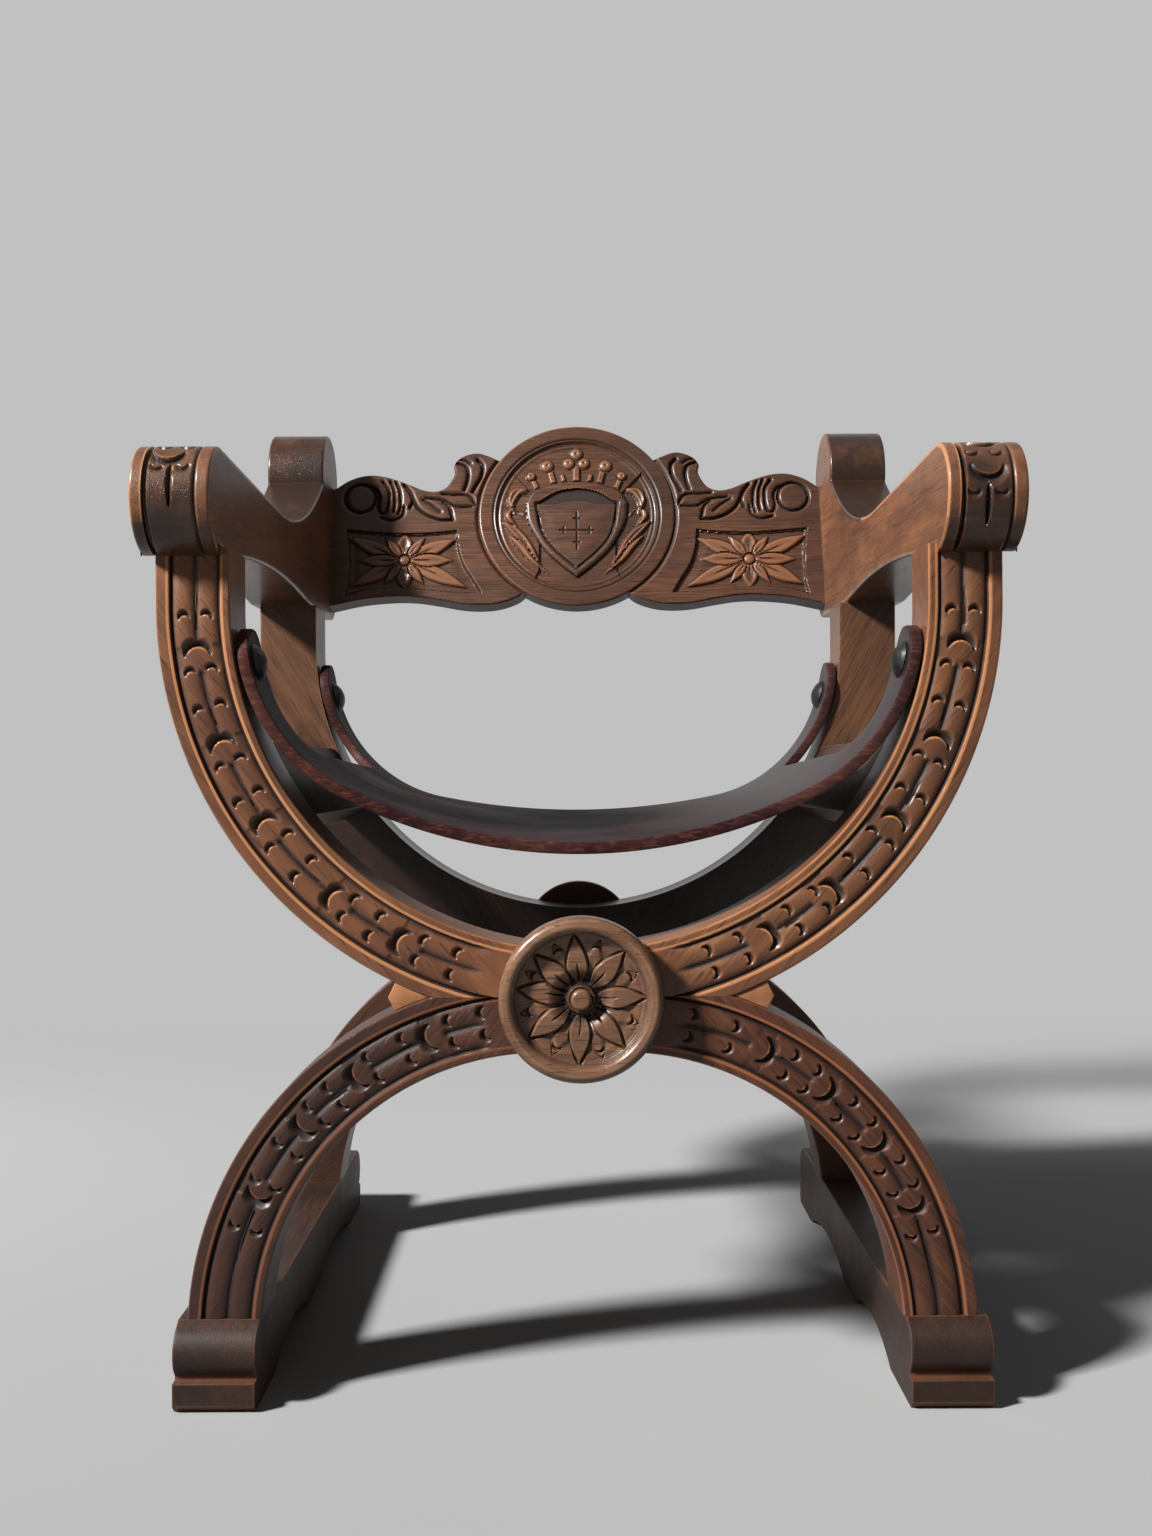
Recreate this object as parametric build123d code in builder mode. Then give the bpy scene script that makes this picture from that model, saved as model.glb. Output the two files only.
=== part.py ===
from build123d import *
from math import asin, atan2, cos, degrees, radians, sin, sqrt
import os

os.makedirs("parts", exist_ok=True)

# Armchair on two crossed frames, one in front and one behind. Each frame is a U-shaped bow that
# stands on an arched pair of legs, and a leather sling hangs inside the two bows.
# The chair faces -Y, +X is its right-hand side as seen from in front, and Z is up.
# The origin is on the floor, under the middle of the whole chair. Lengths are millimetres.

# Stance of the two crossed frames
crossing_height = 289.0
frame_depth = 53.0
frame_gap = 305.0

# Upper bow of each frame
bow_radius = 250.0
bow_stock = 53.0
bow_web = 33.0
upright_rise = 40.0

# Arched legs of each frame
leg_radius = 202.0
leg_stock = 53.0
leg_centre_out = 28.0
leg_web = 40.0

# Wedges in the notches beside each crossing
wedge_reach = 30.0
wedge_point = 15.0
wedge_recess = 1.5
glue_line = 0.2

# Turned rosette on the front crossing
rosette_radius = 58.5
rosette_thickness = 22.0
rosette_rim = 11.5
rosette_field_depth = 8.0
rosette_bead = 3.0
rosette_hollow_radius = 11.5
rosette_hollow_depth = 3.0

# Button in the middle of the rosette
button_radius = 7.5
button_height = 7.0
button_round = 3.0
button_shank_radius = 4.0
shank_clearance = 0.2

# Plain turned boss on the rear crossing
boss_radius = 54.0
boss_thickness = 18.0
boss_round = 7.0

# Turned stretcher between the two crossings
stretcher_radius = 20.0
stretcher_tenon_radius = 11.0
tenon_clearance = 0.2

# Runners that join the front and rear legs
runner_height = 60.0
runner_width = 58.0
runner_set_out = 1.0
runner_nose = 18.0
runner_heel = 89.0
nose_slope_drop = 5.0
nose_slope_run = 9.0
nose_cushion_bulge = 8.0
nose_groove_height = 24.0
nose_groove_depth = 8.0
nose_block_height = 21.0
nose_chamfer = 5.0
front_pad_length = 72.0
rear_pad_length = 72.0
middle_pad_length = 50.0
middle_pad_lift = 2.0
front_arch_length = 142.0
arch_rise = 16.0

# Arms
arm_width = 56.0
arm_overhang = 6.0
scroll_radius = 39.3
scroll_rise = 32.5
scroll_set_back = 5.0
scroll_flange = 9.0
scroll_groove_width = 3.5
scroll_groove_depth = 3.0
arm_waist = 64.5
arm_waist_set_back = 222.0
arm_sweep_overlap = 1.5
arm_sweep_drop = 10.0
arm_arch_rise = 10.0
arm_arch_setting = 4.0
finial_radius = 46.5
finial_rise = 142.5
finial_behind_frame = 74.0
arm_heel_behind_frame = 103.0
arm_heel_round = 22.0

# Crest rail, which leans back between the arms
crest_rake = 16.0
crest_thickness = 20.0
crest_behind_frame = 62.3
crest_lift = 12.6
crest_end_height = 135.0
medallion_radius = 103.0
medallion_rise = 102.5
medallion_rim = 16.5
medallion_field_depth = 4.0
panel_border = 9.0
panel_depth = 3.0
crest_tenon_thickness = 9.0
crest_tenon_height = 84.0
crest_tenon_length = 16.0
crest_tenon_rise = 67.0
mortise_clearance = 0.2

# Outline of one wing of the crest rail: shares of the half span and of the end height
wing_hump_shares = (0.860, 1.112)
wing_hump_end_shares = (0.705, 1.050)
wing_hollow_shares = (0.592, 0.975)
wing_hollow_end_shares = (0.510, 1.070)
leaf_side_shares = (0.494, 1.180)
leaf_tip_shares = (0.480, 1.262)
leaf_top_shares = (0.418, 1.305)
leaf_end_shares = (0.250, 1.200)
scallop_start_shares = (0.200, 0.130)
scallop_low_shares = (0.375, 0.004)
scallop_end_shares = (0.550, 0.045)
wing_arch_shares = (0.740, 0.078)

# Sunk panel of one wing: shares of the half span and of the end height
panel_top_outer_shares = (0.950, 0.680)
panel_top_inner_shares = (0.505, 0.675)
panel_side_shares = (0.445, 0.400)
panel_low_inner_shares = (0.390, 0.160)
panel_low_outer_shares = (0.950, 0.180)

# Rails that tie the two bows together beside the seat
rail_width = 64.0
rail_thickness = 25.0
rail_set_back = 0.5
rail_angle = 30.0

# Leather sling: it falls from four rounded ears to a broad, gently curved bottom
leather_thickness = 8.5
leather_wall_gap = 2.75
leather_set_in = 2.0
ear_drop = 16.0
front_bottom_lift = 73.0
rear_bottom_lift = 88.0
front_shoulder_share = 0.838
rear_shoulder_share = 0.925
ear_width = 56.0
ear_round = 26.0
scoop_drop = 90.0
scoop_round = 34.0

# Domed nails that hold the ears of the sling
front_nail_drop = 26.0
rear_nail_drop = 32.0
nail_head_radius = 14.0
nail_head_height = 7.0
nail_shank_radius = 2.5
nail_bite = 26.0
nail_lift = 0.3

# Dowels
dowel_radius = 5.0
dowel_bite = 24.0
dowel_pitch = 26.0
dowel_clearance = 0.1
seam_dowel_x = 82.0
rail_dowel_pitch = 34.0
rail_dowel_bite = 20.0

# Overrun for cuts that pass out of a piece
overrun = 5.0

# Places along the height and the width
bow_centre_z = crossing_height + bow_web + bow_radius
bow_outer_radius = bow_radius + bow_stock
arm_seat_z = bow_centre_z + upright_rise
arm_inner_x = bow_radius + arm_overhang
upright_x = bow_radius + bow_stock / 2
leg_centre_z = crossing_height - leg_web - leg_radius
leg_outer_radius = leg_radius + leg_stock
runner_inner_x = leg_centre_out + leg_radius + runner_set_out
leg_foot_x = runner_inner_x + runner_width / 2
notch_x = sqrt(bow_outer_radius**2 - (bow_web + bow_radius) ** 2)

# Places along the depth, worked out so that the chair is centred from front to back
crest_lean = sin(radians(crest_rake))
crest_upright = cos(radians(crest_rake))
frames_depth = 2 * frame_depth + frame_gap
crest_set_back = frames_depth + crest_behind_frame
medallion_top = medallion_rise + medallion_radius
back_reach = crest_set_back + medallion_top * crest_lean + crest_thickness * crest_upright
front_reach = scroll_radius - scroll_set_back
front_y = (front_reach - back_reach) / 2
rear_y = front_y + frame_depth + frame_gap
frame_back_y = front_y + frames_depth


def save(part, name):
    """Name one finished piece and write its file."""
    part.label = name
    export_step(part, f"parts/{name}.step")


def save_pair(part, name):
    """Write a right-hand piece and its mirrored left-hand twin."""
    save(part, f"{name}_right")
    with BuildPart() as twin:
        add(mirror(part, about=Plane.YZ, mode=Mode.PRIVATE))
    save(twin.part, f"{name}_left")


def facing_front(y):
    """Upright drawing plane at depth y: its sketches are extruded towards the front."""
    return Plane.XZ.offset(-y)


def middle_y(frame_y):
    """Depth of the middle of the frame whose front face is at frame_y."""
    return frame_y + frame_depth / 2


def dowel_rows(x, frame_y, z):
    """Two dowel places in the thickness of a frame."""
    return [(x, middle_y(frame_y) + side * dowel_pitch / 2, z) for side in (-1, 1)]


# Seat rail: a board laid against the outside of the seat's curve, at the rail angle
rail_mid_radius = bow_radius + rail_set_back + rail_thickness / 2
rail_x = rail_mid_radius * cos(radians(rail_angle))
rail_z = bow_centre_z - rail_mid_radius * sin(radians(rail_angle))
rail_dowel_places = [
    (
        rail_x + side * rail_dowel_pitch / 2 * sin(radians(rail_angle)),
        rail_z + side * rail_dowel_pitch / 2 * cos(radians(rail_angle)),
    )
    for side in (-1, 1)
]

# Sling, measured along the middle of the leather
sling_half_span = bow_radius - leather_wall_gap - leather_thickness / 2
ear_z = bow_centre_z - ear_drop
front_sag = bow_radius - ear_drop - front_bottom_lift
rear_sag = bow_radius - ear_drop - rear_bottom_lift
front_shoulder = front_shoulder_share * front_sag
rear_shoulder = rear_shoulder_share * rear_sag
sling_front_y = front_y + leather_set_in
sling_back_y = frame_back_y - leather_set_in
nail_reach = leather_thickness + 2 * leather_wall_gap + nail_bite


def nail_seat(frame_y, shoulder, nail_drop):
    """Plane under the head of the right-hand nail of one frame, facing the sitter.

    The flat head meets the hollow leather at its rim, so its middle stands off by the hollow.
    """
    slope = asin(nail_drop / shoulder)
    rim_radius = sqrt((shoulder - leather_thickness / 2) ** 2 - nail_head_radius**2) - nail_lift
    return Plane(
        origin=(
            sling_half_span - shoulder + rim_radius * cos(slope),
            middle_y(frame_y),
            ear_z - rim_radius * sin(slope),
        ),
        x_dir=(0, 1, 0),
        z_dir=(-cos(slope), 0, sin(slope)),
    )


front_nail_seat = nail_seat(front_y, front_shoulder, front_nail_drop)
rear_nail_seat = nail_seat(rear_y, rear_shoulder, rear_nail_drop)


def upright(frame_y, seat_plane, rail_face_y, rail_side):
    """Right half of one bow, from the crossing up to the arm, bored for all that joins it."""
    with BuildPart() as bow_half:
        with BuildSketch(facing_front(frame_y + frame_depth)):
            with Locations((0, bow_centre_z)):
                Circle(bow_outer_radius)
                Circle(bow_radius, mode=Mode.SUBTRACT)
            with Locations((0, crossing_height)):
                Rectangle(
                    bow_outer_radius,
                    bow_centre_z - crossing_height,
                    align=(Align.MIN, Align.MIN),
                    mode=Mode.INTERSECT,
                )
            with Locations((bow_radius, bow_centre_z)):
                Rectangle(bow_stock, upright_rise, align=(Align.MIN, Align.MIN))
        extrude(amount=frame_depth)
        # Bore at the crossing for the stretcher's tenon
        with BuildSketch(facing_front(frame_y + frame_depth)):
            with Locations((0, crossing_height)):
                Circle(stretcher_tenon_radius + tenon_clearance)
        extrude(amount=frame_depth, mode=Mode.SUBTRACT)
        # Dowel holes at the seam, under the arm and behind the end of the seat rail
        with Locations(
            (seam_dowel_x, middle_y(frame_y), crossing_height),
            *dowel_rows(upright_x, frame_y, arm_seat_z),
        ):
            Cylinder(dowel_radius + dowel_clearance, 2 * dowel_bite, mode=Mode.SUBTRACT)
        with BuildSketch(facing_front(rail_face_y)):
            with Locations(*rail_dowel_places):
                Circle(dowel_radius + dowel_clearance)
        extrude(amount=rail_side * rail_dowel_bite, mode=Mode.SUBTRACT)
        # Hole for the nail's shank, from the inner face of the bow
        with BuildSketch(seat_plane):
            Circle(nail_shank_radius + dowel_clearance)
        extrude(amount=-nail_reach, mode=Mode.SUBTRACT)
    return bow_half.part


save_pair(upright(front_y, front_nail_seat, front_y + frame_depth, 1), "front_upright")
save_pair(upright(rear_y, rear_nail_seat, rear_y, -1), "rear_upright")


def leg(frame_y):
    """Right half of one pair of legs, from the crossing down to the runner."""
    with BuildPart() as leg_half:
        with BuildSketch(facing_front(frame_y + frame_depth)):
            with Locations((leg_centre_out, leg_centre_z)):
                Circle(leg_outer_radius)
                Circle(leg_radius, mode=Mode.SUBTRACT)
            with Locations((leg_centre_out, runner_height)):
                Rectangle(
                    leg_outer_radius,
                    crossing_height - runner_height,
                    align=(Align.MIN, Align.MIN),
                    mode=Mode.INTERSECT,
                )
            with Locations((0, leg_centre_z + leg_radius)):
                Rectangle(leg_centre_out, leg_web, align=(Align.MIN, Align.MIN))
        extrude(amount=frame_depth)
        # Bore at the crossing for the stretcher's tenon
        with BuildSketch(facing_front(frame_y + frame_depth)):
            with Locations((0, crossing_height)):
                Circle(stretcher_tenon_radius + tenon_clearance)
        extrude(amount=frame_depth, mode=Mode.SUBTRACT)
        # Dowel holes at the seam and in the foot of the leg
        with Locations(
            (seam_dowel_x, middle_y(frame_y), crossing_height),
            *dowel_rows(leg_foot_x, frame_y, runner_height),
        ):
            Cylinder(dowel_radius + dowel_clearance, 2 * dowel_bite, mode=Mode.SUBTRACT)
    return leg_half.part


save_pair(leg(front_y), "front_leg")
save_pair(leg(rear_y), "rear_leg")


def notch_wedges(frame_y):
    """Two wedges, one in each notch between the outer curves of the bow and of the legs."""
    blunt_x = notch_x + wedge_reach - wedge_point
    with BuildPart() as wedges:
        with BuildSketch(facing_front(frame_y + frame_depth - wedge_recess)):
            with BuildLine():
                Polyline(
                    (notch_x, crossing_height - wedge_reach),
                    (blunt_x, crossing_height - wedge_reach),
                    (blunt_x + wedge_point, crossing_height),
                    (blunt_x, crossing_height + wedge_reach),
                    (notch_x, crossing_height + wedge_reach),
                    close=True,
                )
            make_face()
            with Locations((0, bow_centre_z)):
                Circle(bow_outer_radius + glue_line, mode=Mode.SUBTRACT)
            with Locations((leg_centre_out, leg_centre_z)):
                Circle(leg_outer_radius + glue_line, mode=Mode.SUBTRACT)
        extrude(amount=frame_depth - 2 * wedge_recess)
        mirror(about=Plane.YZ)
    return wedges.part


save(notch_wedges(front_y), "front_notch_wedges")
save(notch_wedges(rear_y), "rear_notch_wedges")

# Rosette: a turned disc with a half-round rim, a bead inside it and a sunk, dished field
rosette_front_y = front_y - rosette_thickness
rim_y = rosette_front_y + rosette_rim / 2
field_y = rosette_front_y + rosette_field_depth
bead_y = field_y - rosette_bead / 2
rim_inner_radius = rosette_radius - rosette_rim
button_seat_y = field_y + rosette_hollow_depth
button_bore_radius = button_shank_radius + shank_clearance
with BuildPart() as front_rosette:
    with BuildSketch(Plane.XY.offset(crossing_height)):
        with BuildLine():
            ThreePointArc(
                (rosette_radius, rim_y),
                (rosette_radius - rosette_rim / 2, rosette_front_y),
                (rim_inner_radius, rim_y),
            )
            Polyline(
                (rim_inner_radius, rim_y),
                (rim_inner_radius, bead_y),
                (rim_inner_radius - rosette_bead, bead_y),
                (rim_inner_radius - rosette_bead, field_y),
                (rosette_hollow_radius, field_y),
                (button_radius, button_seat_y),
                (button_bore_radius, button_seat_y),
                (button_bore_radius, front_y),
                (rosette_radius, front_y),
                (rosette_radius, rim_y),
            )
        make_face()
    revolve(axis=Axis((0, 0, crossing_height), (0, 1, 0)), revolution_arc=360)
save(front_rosette.part, "front_rosette")

# Button of the rosette, with a shank that reaches back to the stretcher's tenon
with BuildPart() as rosette_button:
    with BuildSketch(facing_front(button_seat_y)):
        with Locations((0, crossing_height)):
            Circle(button_radius)
    extrude(amount=button_height)
    fillet(rosette_button.edges().group_by(Axis.Y)[0], radius=button_round)
    with BuildSketch(facing_front(front_y)):
        with Locations((0, crossing_height)):
            Circle(button_shank_radius)
    extrude(amount=front_y - button_seat_y)
save(rosette_button.part, "rosette_button")

# Boss behind the rear crossing
with BuildPart() as rear_boss:
    with BuildSketch(facing_front(frame_back_y + boss_thickness)):
        with Locations((0, crossing_height)):
            Circle(boss_radius)
    extrude(amount=boss_thickness)
    fillet(rear_boss.edges().group_by(Axis.Y)[-1], radius=boss_round)
save(rear_boss.part, "rear_boss")

# Stretcher: its shoulders stand against both frames, its tenons fill the crossings
with BuildPart() as crossing_stretcher:
    with BuildSketch(facing_front(frame_back_y)):
        with Locations((0, crossing_height)):
            Circle(stretcher_tenon_radius)
    extrude(amount=frame_back_y - front_y)
    with BuildSketch(facing_front(rear_y)):
        with Locations((0, crossing_height)):
            Circle(stretcher_radius)
    extrude(amount=frame_gap)
save(crossing_stretcher.part, "crossing_stretcher")

# Runner, drawn from the side: the same moulding at its nose and heel, two shallow arches beneath
nose_y = front_y - runner_nose
heel_y = frame_back_y + runner_heel
front_pad_end_y = nose_y + front_pad_length
middle_pad_y = front_pad_end_y + front_arch_length
middle_pad_end_y = middle_pad_y + middle_pad_length
rear_pad_y = heel_y - rear_pad_length


def runner_end(tip_y, inward):
    """Points of one moulded end of the runner, from its top edge down to the floor."""
    shoulder_y = tip_y + inward * nose_slope_run
    shoulder_z = runner_height - nose_slope_drop
    groove_y = tip_y + inward * nose_groove_depth
    return [
        (shoulder_y + inward * nose_slope_run, runner_height),
        (shoulder_y, shoulder_z),
        (shoulder_y - inward * nose_cushion_bulge, (shoulder_z + nose_groove_height) / 2),
        (groove_y, nose_groove_height),
        (groove_y, nose_block_height),
        (tip_y, nose_block_height),
        (tip_y, nose_chamfer),
        (tip_y + inward * nose_chamfer, 0),
    ]


nose = runner_end(nose_y, 1)
heel = runner_end(heel_y, -1)
with BuildPart() as runner:
    with BuildSketch(Plane.YZ.offset(runner_inner_x)):
        with BuildLine():
            Line(nose[0], nose[1])
            ThreePointArc(nose[1], nose[2], nose[3])
            Polyline(*nose[3:], (front_pad_end_y, 0))
            ThreePointArc(
                (front_pad_end_y, 0),
                ((front_pad_end_y + middle_pad_y) / 2, arch_rise),
                (middle_pad_y, middle_pad_lift),
            )
            Line((middle_pad_y, middle_pad_lift), (middle_pad_end_y, middle_pad_lift))
            ThreePointArc(
                (middle_pad_end_y, middle_pad_lift),
                ((middle_pad_end_y + rear_pad_y) / 2, arch_rise),
                (rear_pad_y, 0),
            )
            Polyline((rear_pad_y, 0), *reversed(heel[3:]))
            ThreePointArc(heel[3], heel[2], heel[1])
            Polyline(heel[1], heel[0], nose[0])
        make_face()
    extrude(amount=runner_width)
    with Locations(
        *dowel_rows(leg_foot_x, front_y, runner_height),
        *dowel_rows(leg_foot_x, rear_y, runner_height),
    ):
        Cylinder(dowel_radius + dowel_clearance, 2 * dowel_bite, mode=Mode.SUBTRACT)
save_pair(runner.part, "runner")

# Crest rail, drawn on its own raked front face with y going up the slope
crest_plane = Plane(
    origin=(0, front_y + crest_set_back, arm_seat_z + crest_lift),
    x_dir=(1, 0, 0),
    z_dir=(0, -crest_upright, crest_lean),
)


def crest_point(shares):
    """Point on the crest's face from its shares of the half span and of the end height."""
    return (shares[0] * arm_inner_x, shares[1] * crest_end_height)


def crest_tenon(clearance):
    """Solid of the right-hand tenon, or of its mortise when a clearance is given."""
    back_depth = (crest_thickness + crest_tenon_thickness) / 2 + clearance
    with BuildPart() as tenon:
        with BuildSketch(crest_plane.offset(-back_depth)):
            with Locations((arm_inner_x, crest_tenon_rise)):
                Rectangle(2 * crest_tenon_length, crest_tenon_height + 2 * clearance)
        extrude(amount=crest_tenon_thickness + 2 * clearance)
    return tenon.part


crest_tenon_right = crest_tenon(0)
crest_mortise_right = crest_tenon(mortise_clearance)
with BuildPart() as crest_rail:
    with BuildSketch(crest_plane):
        with BuildLine():
            Line((0, medallion_rise), crest_point(scallop_start_shares))
            ThreePointArc(
                crest_point(scallop_start_shares),
                crest_point(scallop_low_shares),
                crest_point(scallop_end_shares),
            )
            ThreePointArc(
                crest_point(scallop_end_shares),
                crest_point(wing_arch_shares),
                (arm_inner_x, 0),
            )
            Line((arm_inner_x, 0), (arm_inner_x, crest_end_height))
            ThreePointArc(
                (arm_inner_x, crest_end_height),
                crest_point(wing_hump_shares),
                crest_point(wing_hump_end_shares),
            )
            ThreePointArc(
                crest_point(wing_hump_end_shares),
                crest_point(wing_hollow_shares),
                crest_point(wing_hollow_end_shares),
            )
            Polyline(
                crest_point(wing_hollow_end_shares),
                crest_point(leaf_side_shares),
                crest_point(leaf_tip_shares),
                crest_point(leaf_top_shares),
                crest_point(leaf_end_shares),
                (0, medallion_rise),
            )
        make_face()
        mirror(about=Plane.YZ)
        with Locations((0, medallion_rise)):
            Circle(medallion_radius)
    extrude(amount=-crest_thickness)
    add(crest_tenon_right)
    add(mirror(crest_tenon_right, about=Plane.YZ, mode=Mode.PRIVATE))
    # Sunk field of the medallion
    with BuildSketch(crest_plane):
        with Locations((0, medallion_rise)):
            Circle(medallion_radius - medallion_rim)
    extrude(amount=-medallion_field_depth, mode=Mode.SUBTRACT)
    # Sunk panel of each wing, which stops short of the medallion's rim
    with BuildSketch(crest_plane):
        with BuildLine():
            Polyline(
                crest_point(panel_top_outer_shares),
                crest_point(panel_top_inner_shares),
                crest_point(panel_side_shares),
                crest_point(panel_low_inner_shares),
                crest_point(panel_low_outer_shares),
                close=True,
            )
        make_face()
        mirror(about=Plane.YZ)
        with Locations((0, medallion_rise)):
            Circle(medallion_radius + panel_border, mode=Mode.SUBTRACT)
    extrude(amount=-panel_depth, mode=Mode.SUBTRACT)
save(crest_rail.part, "crest_rail")

# Arm, drawn from the side: front scroll, long dipped top, upswept neck and round finial
scroll_y = front_y + scroll_set_back
scroll_z = arm_seat_z + scroll_rise
scroll_top_z = scroll_z + scroll_radius
waist_y = front_y + arm_waist_set_back
waist_z = arm_seat_z + arm_waist
finial_y = frame_back_y + finial_behind_frame
finial_z = arm_seat_z + finial_rise
arm_heel_y = frame_back_y + arm_heel_behind_frame
arch_front_y = front_y + frame_depth
arch_back_y = rear_y - arm_arch_setting
sweep_end = (finial_y - finial_radius + arm_sweep_overlap, finial_z - arm_sweep_drop)
with BuildPart() as arm:
    with BuildSketch(Plane.YZ.offset(arm_inner_x)):
        with BuildLine():
            Line((scroll_y, arm_seat_z), (arch_front_y, arm_seat_z))
            ThreePointArc(
                (arch_front_y, arm_seat_z),
                ((arch_front_y + arch_back_y) / 2, arm_seat_z + arm_arch_rise),
                (arch_back_y, arm_seat_z),
            )
            Polyline(
                (arch_back_y, arm_seat_z),
                (arm_heel_y, arm_seat_z),
                (finial_y + finial_radius, finial_z),
                (finial_y, finial_z),
                sweep_end,
            )
            TangentArc(
                (waist_y, waist_z),
                sweep_end,
                tangent=(waist_y - scroll_y, waist_z - scroll_top_z),
            )
            Polyline((waist_y, waist_z), (scroll_y, scroll_top_z), (scroll_y, arm_seat_z))
        make_face()
        with Locations((finial_y, finial_z)):
            Circle(finial_radius)
        with Locations((scroll_y, scroll_z)):
            Circle(scroll_radius)
        # The scroll hangs down in front of the upright only
        with Locations((front_y, arm_seat_z)):
            Rectangle(
                scroll_radius,
                scroll_radius,
                align=(Align.MIN, Align.MAX),
                mode=Mode.SUBTRACT,
            )
    extrude(amount=arm_width)
    heel_corner = Vector(arm_inner_x + arm_width / 2, arm_heel_y, arm_seat_z)
    fillet(arm.edges().filter_by(Axis.X).sort_by_distance(heel_corner)[0], radius=arm_heel_round)
    # Two grooves round the front of the scroll leave a flange at each end of its barrel
    groove_inner_x = arm_inner_x + scroll_flange
    groove_outer_x = arm_inner_x + arm_width - scroll_flange - scroll_groove_width
    with BuildSketch(Plane.YZ.offset(groove_inner_x), Plane.YZ.offset(groove_outer_x)):
        with Locations((scroll_y, scroll_z)):
            Circle(scroll_radius)
            Circle(scroll_radius - scroll_groove_depth, mode=Mode.SUBTRACT)
            Rectangle(
                scroll_radius,
                2 * scroll_radius,
                align=(Align.MAX, Align.CENTER),
                mode=Mode.INTERSECT,
            )
    extrude(amount=scroll_groove_width, mode=Mode.SUBTRACT)
    with Locations(
        *dowel_rows(upright_x, front_y, arm_seat_z),
        *dowel_rows(upright_x, rear_y, arm_seat_z),
    ):
        Cylinder(dowel_radius + dowel_clearance, 2 * dowel_bite, mode=Mode.SUBTRACT)
    add(crest_mortise_right, mode=Mode.SUBTRACT)
save_pair(arm.part, "arm")

# Seat rails: their ends stand against the inward faces of the two frames
with BuildPart() as seat_rail:
    with BuildSketch(facing_front(rear_y)):
        with Locations((rail_x, rail_z)):
            Rectangle(rail_thickness, rail_width, rotation=-rail_angle)
    extrude(amount=frame_gap)
    with BuildSketch(facing_front(front_y + frame_depth)):
        with Locations(*rail_dowel_places):
            Circle(dowel_radius + dowel_clearance)
    extrude(amount=-rail_dowel_bite, mode=Mode.SUBTRACT)
    with BuildSketch(facing_front(rear_y)):
        with Locations(*rail_dowel_places):
            Circle(dowel_radius + dowel_clearance)
    extrude(amount=rail_dowel_bite, mode=Mode.SUBTRACT)
save_pair(seat_rail.part, "seat_rail")


def sling_section(y, sag, shoulder):
    """Cut end of the leather at depth y: two shoulder arcs, tangent to one broad bottom arc."""
    shoulder_x = sling_half_span - shoulder
    bottom_radius = (shoulder_x**2 + sag**2 - shoulder**2) / (2 * (sag - shoulder))
    bottom_rise = bottom_radius - sag
    turn = degrees(atan2(bottom_rise, shoulder_x))
    with BuildSketch(facing_front(y)) as section:
        with BuildLine():
            for face in (-leather_thickness / 2, leather_thickness / 2):
                CenterArc((shoulder_x, ear_z), shoulder + face, 0, -turn)
                CenterArc((0, ear_z + bottom_rise), bottom_radius + face, -turn, 2 * turn - 180)
                CenterArc((-shoulder_x, ear_z), shoulder + face, turn - 180, -turn)
            for side in (-1, 1):
                Line(
                    (side * (sling_half_span - leather_thickness / 2), ear_z),
                    (side * (sling_half_span + leather_thickness / 2), ear_z),
                )
        make_face()
    return section.sketch


# Nail, drawn standing on its seat: a low dome on a long shank
dome_radius = (nail_head_radius**2 + nail_head_height**2) / (2 * nail_head_height)
dome_angle = degrees(asin((dome_radius - nail_head_height) / dome_radius))
with BuildPart() as nail:
    with BuildSketch(Plane.XZ):
        with BuildLine():
            CenterArc((0, nail_head_height - dome_radius), dome_radius, dome_angle, 90 - dome_angle)
            Polyline(
                (0, nail_head_height),
                (0, -nail_reach),
                (nail_shank_radius, -nail_reach),
                (nail_shank_radius, 0),
                (nail_head_radius, 0),
            )
        make_face()
    revolve(axis=Axis.Z, revolution_arc=360)

with BuildPart() as nail_bore:
    with BuildSketch(front_nail_seat, rear_nail_seat):
        Circle(nail_shank_radius + dowel_clearance)
    extrude(amount=-nail_reach)
    mirror(about=Plane.YZ)

with BuildPart() as leather_seat:
    front_section = sling_section(sling_front_y, front_sag, front_shoulder)
    rear_section = sling_section(sling_back_y, rear_sag, rear_shoulder)
    loft(sections=[front_section, rear_section], ruled=True)
    # Seen from the side: a rounded scoop between the front and rear ears, and round-topped ears
    with BuildSketch(Plane.YZ.offset(-bow_radius)):
        with BuildLine():
            Polyline(
                (sling_front_y + ear_width, ear_z + overrun),
                (sling_front_y + ear_width, ear_z - scoop_drop),
                (sling_back_y - ear_width, ear_z - scoop_drop),
                (sling_back_y - ear_width, ear_z + overrun),
                close=True,
            )
        make_face()
        fillet(vertices().group_by(Axis.Y)[0], radius=scoop_round)
    extrude(amount=2 * bow_radius, mode=Mode.SUBTRACT)
    ear_corners = leather_seat.edges().filter_by(Axis.X).group_by(Axis.Z)[-1]
    fillet(ear_corners, radius=ear_round)
    add(nail_bore.part, mode=Mode.SUBTRACT)
save(leather_seat.part, "leather_seat")

# Four nails, one through each ear
with BuildPart() as seat_nails:
    with Locations(front_nail_seat.location, rear_nail_seat.location):
        add(nail.part)
    mirror(about=Plane.YZ)
save(seat_nails.part, "seat_nails")


def dowels(places, bite):
    """Upright dowels at the given places and at their mirror images."""
    with BuildPart() as dowel_set:
        with Locations(*places):
            Cylinder(dowel_radius, 2 * bite)
        mirror(about=Plane.YZ)
    return dowel_set.part


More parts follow.
